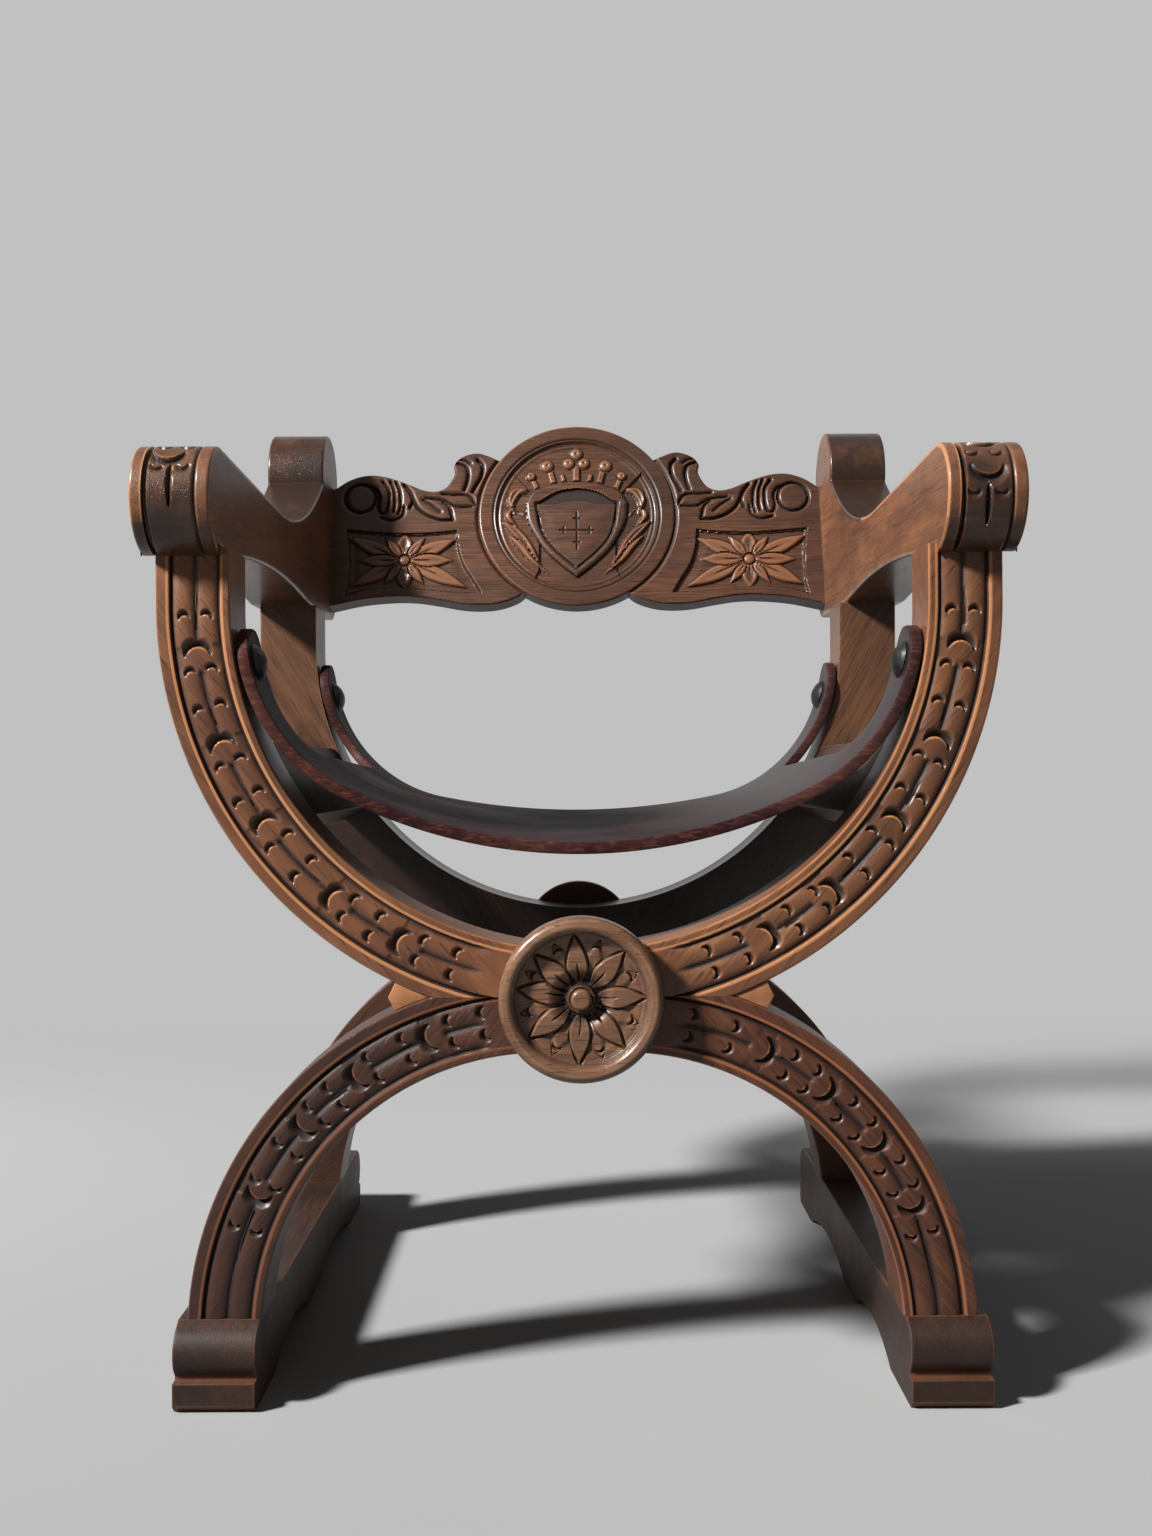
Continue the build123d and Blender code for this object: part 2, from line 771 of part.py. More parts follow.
crossing_places = [(seam_dowel_x, middle_y(y), crossing_height) for y in (front_y, rear_y)]
arm_places = [place for y in (front_y, rear_y) for place in dowel_rows(upright_x, y, arm_seat_z)]
leg_places = [place for y in (front_y, rear_y) for place in dowel_rows(leg_foot_x, y, runner_height)]
save(dowels(crossing_places, dowel_bite), "crossing_dowels")
save(dowels(arm_places, dowel_bite), "arm_dowels")
save(dowels(leg_places, dowel_bite), "leg_dowels")

# Dowels at both ends of both seat rails, lying from front to back
with BuildPart() as rail_dowels:
    for end_y in (front_y + frame_depth, rear_y):
        with BuildSketch(facing_front(end_y)):
            with Locations(*rail_dowel_places):
                Circle(dowel_radius)
        extrude(amount=rail_dowel_bite, both=True)
    mirror(about=Plane.YZ)
save(rail_dowels.part, "rail_dowels")
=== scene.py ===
# %% [markdown]
# # A carved armchair on crossed frames
#
# This lesson dresses a finished CAD model of an old oak and leather armchair. The CAD model comes first
# and stays fixed, because every dimension is settled there. Blender adds what CAD leaves out: the
# carver's cuts, the grain and wax of the wood, the gloss of the hide and the light of a small studio.

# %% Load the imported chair
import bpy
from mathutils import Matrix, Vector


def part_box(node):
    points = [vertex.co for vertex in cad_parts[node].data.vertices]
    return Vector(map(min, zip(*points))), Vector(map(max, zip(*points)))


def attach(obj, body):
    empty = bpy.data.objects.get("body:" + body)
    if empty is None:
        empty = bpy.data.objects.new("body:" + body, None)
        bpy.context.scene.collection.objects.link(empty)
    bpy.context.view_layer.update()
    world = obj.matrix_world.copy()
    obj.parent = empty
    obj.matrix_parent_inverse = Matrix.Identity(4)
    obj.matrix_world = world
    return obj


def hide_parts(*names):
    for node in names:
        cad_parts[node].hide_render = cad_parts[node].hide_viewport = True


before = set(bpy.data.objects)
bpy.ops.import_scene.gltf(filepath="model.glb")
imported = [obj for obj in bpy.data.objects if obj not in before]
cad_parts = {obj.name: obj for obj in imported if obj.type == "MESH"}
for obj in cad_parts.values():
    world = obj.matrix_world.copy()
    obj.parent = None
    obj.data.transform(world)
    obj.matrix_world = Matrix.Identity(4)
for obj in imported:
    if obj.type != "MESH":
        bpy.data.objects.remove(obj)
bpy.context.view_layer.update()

# %% Modules and the unit of length
import math

import bmesh
import bpy
import numpy as np
from mathutils import Vector

mm = 0.001
scene = bpy.context.scene
scene.view_settings.view_transform = "Standard"

# %% [markdown]
# ## The camera
#
# The chair is seen from straight in front, from the height of its seat and from little more than a
# metre away, so its far parts look much smaller than its near ones. A long lens would flatten that. A
# short lens close to the chair gives the same strong perspective as the photograph, and a small shift
# of the lens places the chair in the picture without tilting its uprights.

# %% Camera
camera = bpy.data.objects.new("camera", bpy.data.cameras.new("camera"))
scene.collection.objects.link(camera)
scene.camera = camera
camera.data.lens = 34.85
camera.data.shift_x = 0.0013
camera.data.shift_y = 0.0065
camera.location = (-4.3 * mm, -1319.4 * mm, 445.4 * mm)
camera.rotation_euler = (math.radians(90), math.radians(0.3), 0)
print("Camera stands", round(-camera.location.y, 3), "m in front of the chair's middle")

# %% [markdown]
# ## Floor and backdrop
#
# A photographer rolls a sheet of pale paper down a wall and out over the floor, so that no corner
# shows. Here a grid with one face is the floor, its far edge is extruded upwards as the wall, and a
# wide bevel of the edge between them makes the sweep. It stands far enough back to leave room for views
# from behind.


# %% Sweep of pale paper
def put(shape, name, *materials):
    """Makes an object at the origin from a bmesh, and frees the bmesh."""
    mesh = bpy.data.meshes.new(name)
    shape.to_mesh(mesh)
    shape.free()
    made = bpy.data.objects.new(name, mesh)
    scene.collection.objects.link(made)
    for material in materials:
        mesh.materials.append(material)
    return made


def corners_only(shape):
    """Corner points of a list of bmesh geometry."""
    return [part for part in shape if isinstance(part, bmesh.types.BMVert)]


paper = bmesh.new()
bmesh.ops.create_grid(paper, x_segments=1, y_segments=1, size=6)
far_edge = max(paper.edges, key=lambda edge: (edge.verts[0].co + edge.verts[1].co).y)
bmesh.ops.translate(paper, verts=far_edge.verts, vec=(0, -2.4, 0))
raised = bmesh.ops.extrude_edge_only(paper, edges=[far_edge])["geom"]
bmesh.ops.translate(paper, verts=corners_only(raised), vec=(0, 0, 5))
fold = [edge for edge in paper.edges if len(edge.link_faces) == 2]
bmesh.ops.bevel(paper, geom=fold, offset=1.5, segments=24, affect="EDGES", profile=0.5, material=-1)
for face in paper.faces:
    face.smooth = True
backdrop = put(paper, "backdrop")
print("Backdrop faces:", len(backdrop.data.polygons))

# %% [markdown]
# ## Shader arithmetic
#
# Grain, wear and wax are sums and products of a few patterns. Linking Math nodes by hand soon becomes
# hard to read, so a small class stands for one value in a material. Adding or multiplying two such
# values adds the Math node that does it, and one method adds any other kind of node.


# %% A value in a material
class Value:
    """One value in a material's node tree."""

    def __init__(self, tree, socket=None):
        self.tree = tree
        self.socket = socket

    def node(self, kind, settings=None, inputs=None, output=0):
        """Adds a node, sets its settings and then its sockets, and gives one of its outputs."""
        made = self.tree.nodes.new("ShaderNode" + kind)
        for name, setting in (settings or {}).items():
            setattr(made, name, setting)
        for name, given in (inputs or {}).items():
            if isinstance(given, Value):
                self.tree.links.new(given.socket, made.inputs[name])
            else:
                made.inputs[name].default_value = given
        return Value(self.tree, made.outputs[output] if len(made.outputs) else None)

    def maths(self, operation, first, second):
        """Adds a Math node that works on two values."""
        return self.node("Math", {"operation": operation}, {0: first, 1: second})

    def __add__(self, other):
        return self.maths("ADD", self, other)

    def __radd__(self, other):
        return self.maths("ADD", other, self)

    def __sub__(self, other):
        return self.maths("SUBTRACT", self, other)

    def __rsub__(self, other):
        return self.maths("SUBTRACT", other, self)

    def __mul__(self, other):
        return self.maths("MULTIPLY", self, other)

    def __rmul__(self, other):
        return self.maths("MULTIPLY", other, self)

    def between(self, low, high):
        """0 where the value is at low, 1 where it is at high, eased in between."""
        return self.node("MapRange", {"interpolation_type": "SMOOTHSTEP"}, {0: self, 1: low, 2: high})

    def mix(self, at_0, at_1):
        """Mixes two colours by this value."""
        return self.node("Mix", {"data_type": "RGBA"}, {0: self, 6: at_0, 7: at_1}, 2)


def new_material(name):
    """An empty material, and the value that its nodes are made from."""
    material = bpy.data.materials.new(name)
    material.use_nodes = True
    material.node_tree.nodes.clear()
    return material, Value(material.node_tree)


def noise(place, scale, detail, roughness=0.5):
    """A soft, uneven pattern between 0 and 1, about 0.5 on average."""
    return place.node("TexNoise", None, {
        "Vector": place, "Scale": scale, "Detail": detail, "Roughness": roughness})


def grey(level):
    """A grey that sends back this share of the light."""
    return (level, level, level, 1)


def looked_at(start):
    """1 where the camera looks, straight on or in a reflection, and 0 for light on its way to the chair."""
    rays = ("Camera", "Glossy", "Transmission")
    return sum(start.node("LightPath", output=f"Is {ray} Ray") for ray in rays)


# %% [markdown]
# ## The colour of the paper
#
# The lamp stands close, so paper of one grey would look bright near it and dim far away. A studio evens
# that out with more lamps. Here the paper itself is darker near the lamp, and its far part glows a
# little, so that floor and wall come out as one even grey. Both are only for the eye. The light that
# the paper throws back at the chair is that of a much darker sheet, which keeps the shade under the
# seat as deep as in an empty room.

# %% Paper
paper_finish, start = new_material("pale_paper")
place = start.node("TexCoord", None, None, 3)
rightwards, depth_back = (start.node("SeparateXYZ", None, {"Vector": place}, axis) for axis in (0, 1))
paleness = depth_back.between(-0.9, 1.0) * 0.53 + rightwards.between(-0.6, 0.8) * 0.45
paleness = paleness + noise(place, 3.0, 4.0) * 0.06
seen = looked_at(start)
paper_colour = seen.mix(grey(0.11), paleness.mix(grey(0.24), grey(0.54)))
paper_shader = start.node("BsdfPrincipled", None, {"Base Color": paper_colour, "Roughness": 0.9})
glow = start.node("Emission", None, {"Color": grey(0.53)})
glow_share = depth_back.between(0.3, 1.5) * seen
blend = start.node("MixShader", None, {0: glow_share, 1: paper_shader, 2: glow})
start.node("OutputMaterial", None, {"Surface": blend})
backdrop.data.materials.append(paper_finish)
print("Nodes in the paper:", len(paper_finish.node_tree.nodes))

# %% [markdown]
# ## Oak, stained and waxed
#
# The wood is a warm brown oak. Its grain shows as long streaks and short dark pores that run along each
# board, dark wax has gathered in every cut, and hands have polished the raised edges paler. One recipe
# serves all boards, stretched along the board's own direction. It reads two attributes of the mesh.
# Hollow is above 0 in the cuts, where it paints dark wax together with painted shade, and below 0 on a
# worn edge, where it paints paler wear and, along the borders of the bows, painted highlight too. Grime
# is the dark polish that years of hands leave on the arms, and it also carries painted shade on the
# undersides of the arms and low on the front of the rear bow. Each part has tones of its own, a pale, a
# middle and a dark one: the crest, the legs and the runners are darker than the bows, the legs and
# runners darker towards the floor, and the left legs darker than the right ones as painted shade.


# %% Wood recipe
# Colour of the dark wax in the pores and cuts, also used as painted shade in the hollows
wax_and_shade_tone = (20, 12, 10)
# Colour of the grime from hands, which on the arm undersides and the rear bow is painted shade
grime_and_shade_tone = (30, 19, 14)


def colour(red, green, blue):
    """A colour given as a screen shows it, in shares of 255, turned into the light that the shader wants."""
    return tuple((((c / 255) + 0.055) / 1.055) ** 2.4 for c in (red, green, blue)) + (1,)


def wood(name, tones, lean=(0, 0, 0), gloss=0.40, polish=0.20):
    """Oak whose grain runs along Z once it has been turned back by lean, in degrees."""
    pale, middle, dark = tones
    material, start = new_material(name)
    place = start.node("TexCoord", None, None, 3)
    turned = start.node("Mapping", {"vector_type": "TEXTURE"}, {
        "Vector": place, "Rotation": [math.radians(a) for a in lean]})
    board = start.node("Mapping", None, {"Vector": turned, "Scale": (1, 1, 0.12)})
    long_board = start.node("Mapping", None, {"Vector": turned, "Scale": (1, 1, 0.035)})
    cloud = noise(turned, 7.0, 3.0)
    streak = noise(board, 42.0, 6.0, 0.62)
    ring = start.node("TexWave", {"wave_type": "BANDS", "bands_direction": "DIAGONAL"}, {
        "Vector": board, "Scale": 34.0, "Distortion": 7.0, "Detail": 3.0, "Detail Scale": 1.6})
    fibre = noise(long_board, 520.0, 3.0, 0.7)
    pore = noise(long_board, 900.0, 1.0).between(0.60, 0.70)
    blotch = noise(place, 26.0, 5.0, 0.6)
    hollow = start.node("Attribute", {"attribute_name": "hollow"}, None, 2)
    grime_and_shade = start.node("Attribute", {"attribute_name": "grime_and_shade"}, None, 2)
    # Paler wear on edges, which along the bows' borders also paints highlight
    worn = (hollow * -1.0 + (blotch - 0.5) * 0.5).between(0.15, 0.75)
    # Dark wax in the cuts, darkened further in the hollows as painted shade
    wax_and_shade = (hollow + (blotch - 0.5) * 0.25).between(0.02, 0.75)
    # Share of grime: the dark polish of hands, and painted shade on the arm undersides and the rear bow below
    # the seat
    grime_and_shade_share = (grime_and_shade + (blotch - 0.5) * 1.3).between(0.1, 1.0)
    layers = (
        (fibre.between(0.35, 0.75) * cloud.between(0.35, 0.75) * 0.7, pale),
        (pore * 0.55, wax_and_shade_tone),
        (worn * 0.8, [1.12 * part for part in pale]),
        (wax_and_shade * 0.9, wax_and_shade_tone),
        (grime_and_shade_share * 0.92, grime_and_shade_tone))
    tone = streak.between(0.30, 0.72) * 0.55 + ring * 0.2 + cloud.between(0.3, 0.7) * 0.25
    body = tone.mix(colour(*dark), colour(*middle))
    for share, stain in layers:
        body = share.mix(body, colour(*stain))
    rough = gloss + (fibre - 0.5) * 0.22 + wax_and_shade * 0.22 + (blotch - 0.5) * 0.25 - grime_and_shade_share * 0.08
    height = fibre * 0.35 + pore * -0.6 + streak * 0.5 + blotch * 0.8
    bump = start.node("Bump", None, {"Strength": 0.35, "Distance": 0.0006, "Height": height})
    shader = start.node("BsdfPrincipled", None, {
        "Base Color": body, "Roughness": rough, "Normal": bump, "IOR": 1.4,
        "Coat Weight": grime_and_shade_share * 0.14 + worn * 0.15 + polish, "Coat Roughness": 0.2, "Coat IOR": 1.4})
    start.node("OutputMaterial", None, {"Surface": shader})
    return material


oak_tones = ((172, 118, 78), (130, 84, 55), (84, 52, 36))
right_leg_tones = ((136, 84, 54), (94, 56, 37), (58, 32, 24))
# The left legs are darker than the right ones: painted shade
shaded_left_leg_tones = ((104, 64, 43), (69, 41, 29), (42, 25, 19))
foot_tones = ((100, 62, 42), (52, 32, 22), (30, 18, 13))
rear_tones = ((142, 96, 64), (102, 68, 46), (66, 43, 31))
crest_tones = ((122, 80, 54), (84, 53, 36), (52, 32, 23))
turned_tones = ((168, 126, 94), (126, 90, 65), (86, 58, 42))
slant_oak_right = wood("oak_slanting_right", oak_tones, lean=(0, 40, 0))
slant_oak_left = wood("oak_slanting_left", oak_tones, lean=(0, -40, 0))
level_oak = wood("oak_across", oak_tones, lean=(0, 90, 0))
deep_oak = wood("oak_front_to_back", oak_tones, lean=(90, 0, 0))
leg_oak_right = wood("oak_legs_right", right_leg_tones, lean=(0, -40, 0), gloss=0.44, polish=0.06)
shaded_leg_oak_left = wood("oak_legs_left_painted_shade", shaded_left_leg_tones, lean=(0, 40, 0), gloss=0.44, polish=0.06)
foot_oak = wood("oak_runners", foot_tones, lean=(90, 0, 0), gloss=0.56, polish=0.0)
rear_oak_right = wood("oak_rear_right", rear_tones, lean=(0, 30, 0))
rear_oak_left = wood("oak_rear_left", rear_tones, lean=(0, -30, 0))
crest_oak = wood("oak_crest", crest_tones, lean=(0, 90, 0))
turned_oak = wood("oak_turned", turned_tones, lean=(0, 90, 0), gloss=0.33, polish=0.45)
print("Wood materials:", [m.name for m in bpy.data.materials if m.name.startswith("oak")])

# %% [markdown]
# ## Hide and iron
#
# The saddle leather is dyed a red so dark that it looks black. Its smooth side mixes a matt and a glossy
# finish by place: rubbed patches shine a little, and a painted sheen makes the right side glossier. Its
# cut edge took less dye and shows red-brown, with paler scuffs, and its underside is the rough flesh
# side with no shine at all. The nails are iron with a thin black skin of oil burnt on in the forge,
# which shines where it has been touched.


# %% Leather recipe
def leather(name, dyed, rubbed, gloss, crease, shine=1.0):
    """Dyed saddle leather with fine pores, slow creases and rubbed patches."""
    material, start = new_material(name)
    place = start.node("TexCoord", None, None, 3)
    across = start.node("Mapping", None, {"Vector": place, "Scale": (0.25, 1, 1)})
    pebble = start.node("TexVoronoi", {"feature": "SMOOTH_F1"}, {"Vector": place, "Scale": 760.0})
    pore = noise(place, 1500.0, 2.0)
    fold = noise(across, 38.0, 5.0, 0.6)
    patch = noise(place, 11.0, 4.0, 0.55)
    scuff = noise(across, 420.0, 4.0, 0.7)
    shade = scuff.between(0.46, 0.72) * crease + patch.between(0.42, 0.72) * 0.3
    body = shade.mix(colour(*dyed), colour(*rubbed))
    height = pebble * 0.5 + pore * 0.25 + fold * 1.6 + scuff * crease
    bump = start.node("Bump", None, {"Strength": 0.3, "Distance": 0.0005, "Height": height})
    matt = start.node("BsdfPrincipled", None, {
        "Base Color": body, "Roughness": 0.9, "Normal": bump, "Specular IOR Level": 0.0})
    rough = gloss + (patch - 0.5) * 0.35 + (scuff - 0.5) * 0.12
    glossy = start.node("BsdfPrincipled", None, {
        "Base Color": body, "Roughness": rough, "Normal": bump, "IOR": 1.3})
    # Painted sheen: the glossy share grows towards the right of the seat
    painted_sheen_side = start.node("SeparateXYZ", None, {"Vector": place}).between(0.02, 0.22)
    polish_and_sheen = (patch.between(0.3, 0.75) * 0.25 + painted_sheen_side * 0.75 + 0.14) * shine
    blend = start.node("MixShader", None, {0: polish_and_sheen, 1: matt, 2: glossy})
    start.node("OutputMaterial", None, {"Surface": blend})
    return material


oxblood_hide = leather("oxblood_hide", (34, 22, 24), (62, 42, 42), gloss=0.34, crease=0.25)
cut_hide = leather("cut_edge_of_hide", (44, 25, 27), (108, 64, 50), gloss=0.42, crease=0.6)
flesh_side = leather("flesh_side_of_hide", (28, 20, 19), (56, 42, 36), gloss=0.8, crease=0.4, shine=0.0)
print("Leather materials:", [m.name for m in bpy.data.materials if "hide" in m.name])

# %% Iron
forged_iron, start = new_material("forged_iron")
place = start.node("TexCoord", None, None, 3)
skin = noise(place, 180.0, 5.0, 0.6)
pit = start.node("TexVoronoi", None, {"Vector": place, "Scale": 900.0})
touched = skin.between(0.5, 0.68)
iron_bump = start.node("Bump", None, {"Strength": 0.35, "Distance": 0.0004, "Height": skin + pit * 0.35})
iron_shader = start.node("BsdfPrincipled", None, {
    "Base Color": touched.mix(colour(32, 31, 32), colour(74, 70, 68)),
    "Metallic": touched * 0.4 + 0.45, "Roughness": 0.46 - touched * 0.16, "Normal": iron_bump})
start.node("OutputMaterial", None, {"Surface": iron_shader})
print("Nodes in the iron:", len(forged_iron.node_tree.nodes))

# %% [markdown]
# ## How the carving is made
#
# A carver draws on a flat board and cuts down from its face. The same idea works on a mesh. A grid of
# small squares is the face of the board, its rim is folded back to make the sides, and the hole behind
# is filled. Each point of the grid then moves to its place on the chair, and down by the depth of the
# cut there. Real geometry is worth its cost here, because the cuts throw shadows that a bump map can't.


# %% Blank board
def open_grid(columns, rows):
    """A grid of small squares, one unit wide and high, with its lowest corner at the origin."""
    grid = bmesh.new()
    bmesh.ops.create_grid(grid, x_segments=columns, y_segments=rows, size=0.5)
    bmesh.ops.translate(grid, verts=grid.verts, vec=(0.5, 0.5, 0))
    return grid


def fold_rim(sheet):
    """Folds the rim of a flat sheet back by one unit, in three steps, and fills the hole behind."""
    for step in (0.06, 0.88, 0.06):
        rim = [edge for edge in sheet.edges if edge.is_boundary]
        folded = bmesh.ops.extrude_edge_only(sheet, edges=rim)["geom"]
        bmesh.ops.translate(sheet, verts=corners_only(folded), vec=(0, 0, -step))
    bmesh.ops.holes_fill(sheet, edges=[edge for edge in sheet.edges if edge.is_boundary])
    return sheet


def read(items, label, kind=float, width=1):
    """One value, or a few, of each point, edge or attribute entry of a mesh, all in one row."""
    values = np.empty(width * len(items), kind)
    items.foreach_get(label, values)
    return values


def carve(board, name, place, *materials):
    """Moves each point of a board to its place.

    place gives points in mm, how deep they are cut, how worn they are and, on some pieces, how much
    grime from hands and painted shade they hold.
    """
    bmesh.ops.recalc_face_normals(board, faces=board.faces)
    made = put(board, name, *materials)
    points, depth, wear, *dirt_and_shade = place(*read(made.data.vertices, "co", float, 3).reshape(-1, 3).T)
    made.data.vertices.foreach_set("co", (points * mm).ravel())
    grime_and_shade = dirt_and_shade[0] if dirt_and_shade else 0 * wear
    for label, values in (("depth", depth), ("hollow", -wear), ("grime_and_shade", grime_and_shade)):
        made.data.attributes.new(label, "FLOAT", "POINT")
        made.data.attributes[label].data.foreach_set("value", values.astype(np.float32))
    return settle(made)


def wax_and_shade_hollows(made, by_depth, by_shape, spread=7):
    """Adds to hollow as dark wax and painted shade: at points cut deep, or lying lower than the points around
    them.
    """
    count = len(made.data.vertices)
    depth = read(made.data.attributes["depth"].data, "value", np.float32)
    hollow = read(made.data.attributes["hollow"].data, "value", np.float32)
    ends = read(made.data.edges, "vertices", np.int32, 2)
    first, second = ends.reshape(-1, 2).T
    joined = np.bincount(ends, minlength=count) + 1
    around = depth.copy()
    for _ in range(spread):
        ahead = np.bincount(first, around[second], count)
        behind = np.bincount(second, around[first], count)
        around = (around + ahead + behind) / joined
    hollow = hollow + by_depth * depth + by_shape * (depth - around)
    made.data.attributes["hollow"].data.foreach_set("value", hollow.astype(np.float32))


def settle(made, sharp=38):
    """Merges doubled points, turns every face outwards and shades all but the sharp edges smooth."""
    shape = bmesh.new()
    shape.from_mesh(made.data)
    bmesh.ops.remove_doubles(shape, verts=shape.verts, dist=0.01 * mm)
    bmesh.ops.recalc_face_normals(shape, faces=shape.faces)
    shape.to_mesh(made.data)
    shape.free()
    made.data.shade_smooth()
    made.data.set_sharp_from_angle(angle=math.radians(sharp))
    return made


def dress(piece, slot, *nodes, wax_and_shade=1.0):
    """Darkens the hollows of a carved piece with dark wax and painted shade, and lets it ride on the chair in
    place of its CAD nodes.
    """
    if "depth" in piece.data.attributes:
        wax_and_shade_hollows(piece, 0.22 * wax_and_shade, 0.75 * wax_and_shade)
    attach(piece, "root")
    if nodes:
        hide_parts(*nodes)
    print(piece.name, "has", sum(len(f.vertices) - 2 for f in piece.data.polygons), "triangles")


# %% Cuts of the gouge
def ease(share):
    """0 to 1 with a soft start and end."""
    share = np.clip(share, 0, 1)
    return share * share * (3 - 2 * share)


def vee(distance, half_width, depth):
    """A V-shaped groove at a distance from its middle line."""
    return depth * np.clip(1 - distance / half_width, 0, 1)


def rounded_edge(distance, radius):
    """How far a rounded edge falls away, at a distance from the side of the board."""
    share = np.clip(1 - distance / radius, 0, 1)
    return radius * (1 - np.sqrt(1 - share**2))


def turn_axes(x, y, angle):
    """The same places, measured along and across a line that is turned by an angle in radians."""
    return x * math.cos(angle) + y * math.sin(angle), y * math.cos(angle) - x * math.sin(angle)


def thumbnail(along, across, radius, reach, depth, turn=0.0):
    """One gouge cut with its steep arc at the origin, bulging along +X, and a floor that rises beyond it."""
    x, y = turn_axes(along, across, turn)
    x = x + radius
    past = np.hypot(x, y) - radius
    fade = np.clip(1 - (np.arctan2(y, x) / math.radians(84)) ** 2, 0, 1) ** 0.7
    wall = np.clip(1 + past / 0.9, 0, 1)
    floor = np.clip(1 - past / (reach * fade + 0.01), 0, 1)
    return depth * fade * np.where(past < 0, wall, floor)


print("Depth of a gouge cut 2 mm past its arc:", round(float(thumbnail(2.0, 0.0, 9.6, 7.5, 5.6)), 2), "mm")

# %% [markdown]
# ## The front bows and legs
#
# Each front frame is four quarter rings. Their faces carry the same running pattern: a border on each
# side, two strands between three grooves, and crescents cut with a gouge, a large one across both
# strands and small ones in pairs, like the scales of a seed pod. The pattern points away from the
# rosette, up the bows and down the legs. The board for each quarter is bent round its ring, and the
# pattern is worked out along and across the ring.

# %% Sizes of the front frame
front_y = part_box("front_upright_right")[0].y / mm
frame_depth = 53.0
ring_width = 53.0
crossing_z = 289.0
bow_radius, bow_centre_z = 250.0, 572.0
arm_seat_z = 612.0
leg_radius, leg_centre_x, leg_centre_z = 202.0, 28.0, 47.0
runner_top_z = 60.0
# Places across the ring, from its inner edge: three grooves, and the middles of the two strands between them
inner_groove, middle_groove, outer_groove = 7.8, 24.6, 41.6
strand_middles = (16.2, 33.1)
# Side of one small square of the carved grids
fine_square = 0.8
print("Front face of the frame at y =", round(front_y, 2), "mm")


# %% Running pattern
def strand_relief(pattern, radius):
    """Relief of one quarter ring, by the angle from the crossing in degrees and the place across it."""
    per_degree = math.radians(radius + ring_width / 2)
    large, small = pattern["large"], pattern["small"]

    def relief(angle, across):
        along = angle * per_degree
        start = ease((angle - 13.5) / 4)
        depth = vee(np.abs(across - inner_groove), 1.5, 2.6) * start
        depth = np.maximum(depth, vee(np.abs(across - outer_groove), 1.9, 3.4) * ease((angle - 9) / 4))

        # The middle groove sways a little, and is cut in runs that are widest just past a large crescent
        middle = np.abs(across - middle_groove - 1.6 * np.sin(along / 21 + pattern["sway"]))
        run_starts = [8.0] + [a + 1.6 for a in large]
        run_ends = [a - 3.4 for a in large] + [99.0]
        for low_end, high_end in zip(run_starts, run_ends):
            share = np.clip((high_end - angle) / (high_end - low_end), 0, 1)
            run = ease(angle - low_end) * ease((high_end - angle) / 2.0) * start
            depth = np.maximum(depth, vee(middle, 0.7 + 1.5 * share, 1.5 + 2.4 * share) * run)

        # Each strand is rounded, and just below a large crescent the two become one round seed
        strand = np.minimum(*(np.abs(across - line) for line in strand_middles)) / 8.5
        for a in large:
            seed = ease((angle - a + 4.4) / 1.6) * ease((a + 0.3 - angle) / 0.6)
            strand = strand + seed * (np.abs(across - middle_groove) / 17 - strand)
        within = (across > inner_groove) & (across < outer_groove)
        rounded = np.where(within, 0.2 + 2.5 * np.clip(strand, 0, 1) ** 2.4, 0)
        depth = np.maximum(depth, rounded * start)

        for a in large:
            depth = np.maximum(depth, thumbnail(along - a * per_degree, across - 25.5, 9.6, 7.5, 5.6))
        for a in small:
            for line, turn in ((33.2, 0.15), (16.0, -0.35)):
                cut = thumbnail(along - a * per_degree, across - line, 4.1, 4.4, 3.8, turn)
                depth = np.maximum(depth, cut)
        return depth

    return relief


# Places of the large and small crescents in degrees, and where in its sway the middle groove starts
bow_patterns = {
    "right": {
        "large": (29.8, 41.3, 55.6, 69.1, 84.0), "sway": 0.4,
        "small": (20.0, 25.2, 33.8, 38.8, 46.3, 51.8, 59.8, 65.6, 74.4, 80.2, 88.6)},
    "left": {
        "large": (28.5, 40.6, 55.6, 69.1, 83.6), "sway": 2.1,
        "small": (19.5, 25.0, 32.6, 37.4, 46.3, 51.8, 59.8, 65.6, 74.4, 80.1, 88.3)},
}
leg_patterns = {
    "right": {
        "large": (33.0, 46.4, 60.0, 73.5), "sway": 1.2,
        "small": (17.5, 25.5, 37.5, 42.4, 51.0, 56.0, 64.5, 69.5, 78.5)},
    "left": {
        "large": (26.5, 41.7, 55.4, 70.8), "sway": 2.8,
        "small": (15.3, 21.5, 30.5, 37.7, 46.6, 51.5, 60.0, 67.7, 76.8)},
}
print("Large crescents on the right bow:", len(bow_patterns["right"]["large"]))


# %% Bows and legs
bow_middle, leg_middle = bow_radius + ring_width / 2, leg_radius + ring_width / 2
bow_quarter, leg_quarter = bow_middle * math.pi / 2, leg_middle * math.pi / 2
bow_length = bow_quarter + arm_seat_z - bow_centre_z
leg_length = leg_centre_x + leg_quarter


def cut_level(inner_radius, turn, centre_height):
    """Outer radius of a ring that is cut off level at the crossing, where it has turned away by an angle."""
    return np.minimum(inner_radius + ring_width, centre_height / np.cos(np.minimum(turn, 1.2)))


def bow_bend(run, share):
    """Angle, radius and place of a point of the bow, from its run up the bow and its share of the width."""
    turn = np.minimum(run / bow_quarter, 1) * math.pi / 2
    reach = cut_level(bow_radius, turn, bow_centre_z - crossing_z)
    radius = bow_radius + share * (reach - bow_radius)
    z = bow_centre_z - radius * np.cos(turn) + np.maximum(run - bow_quarter, 0)
    return np.degrees(run / bow_middle), radius, radius * np.sin(turn), z


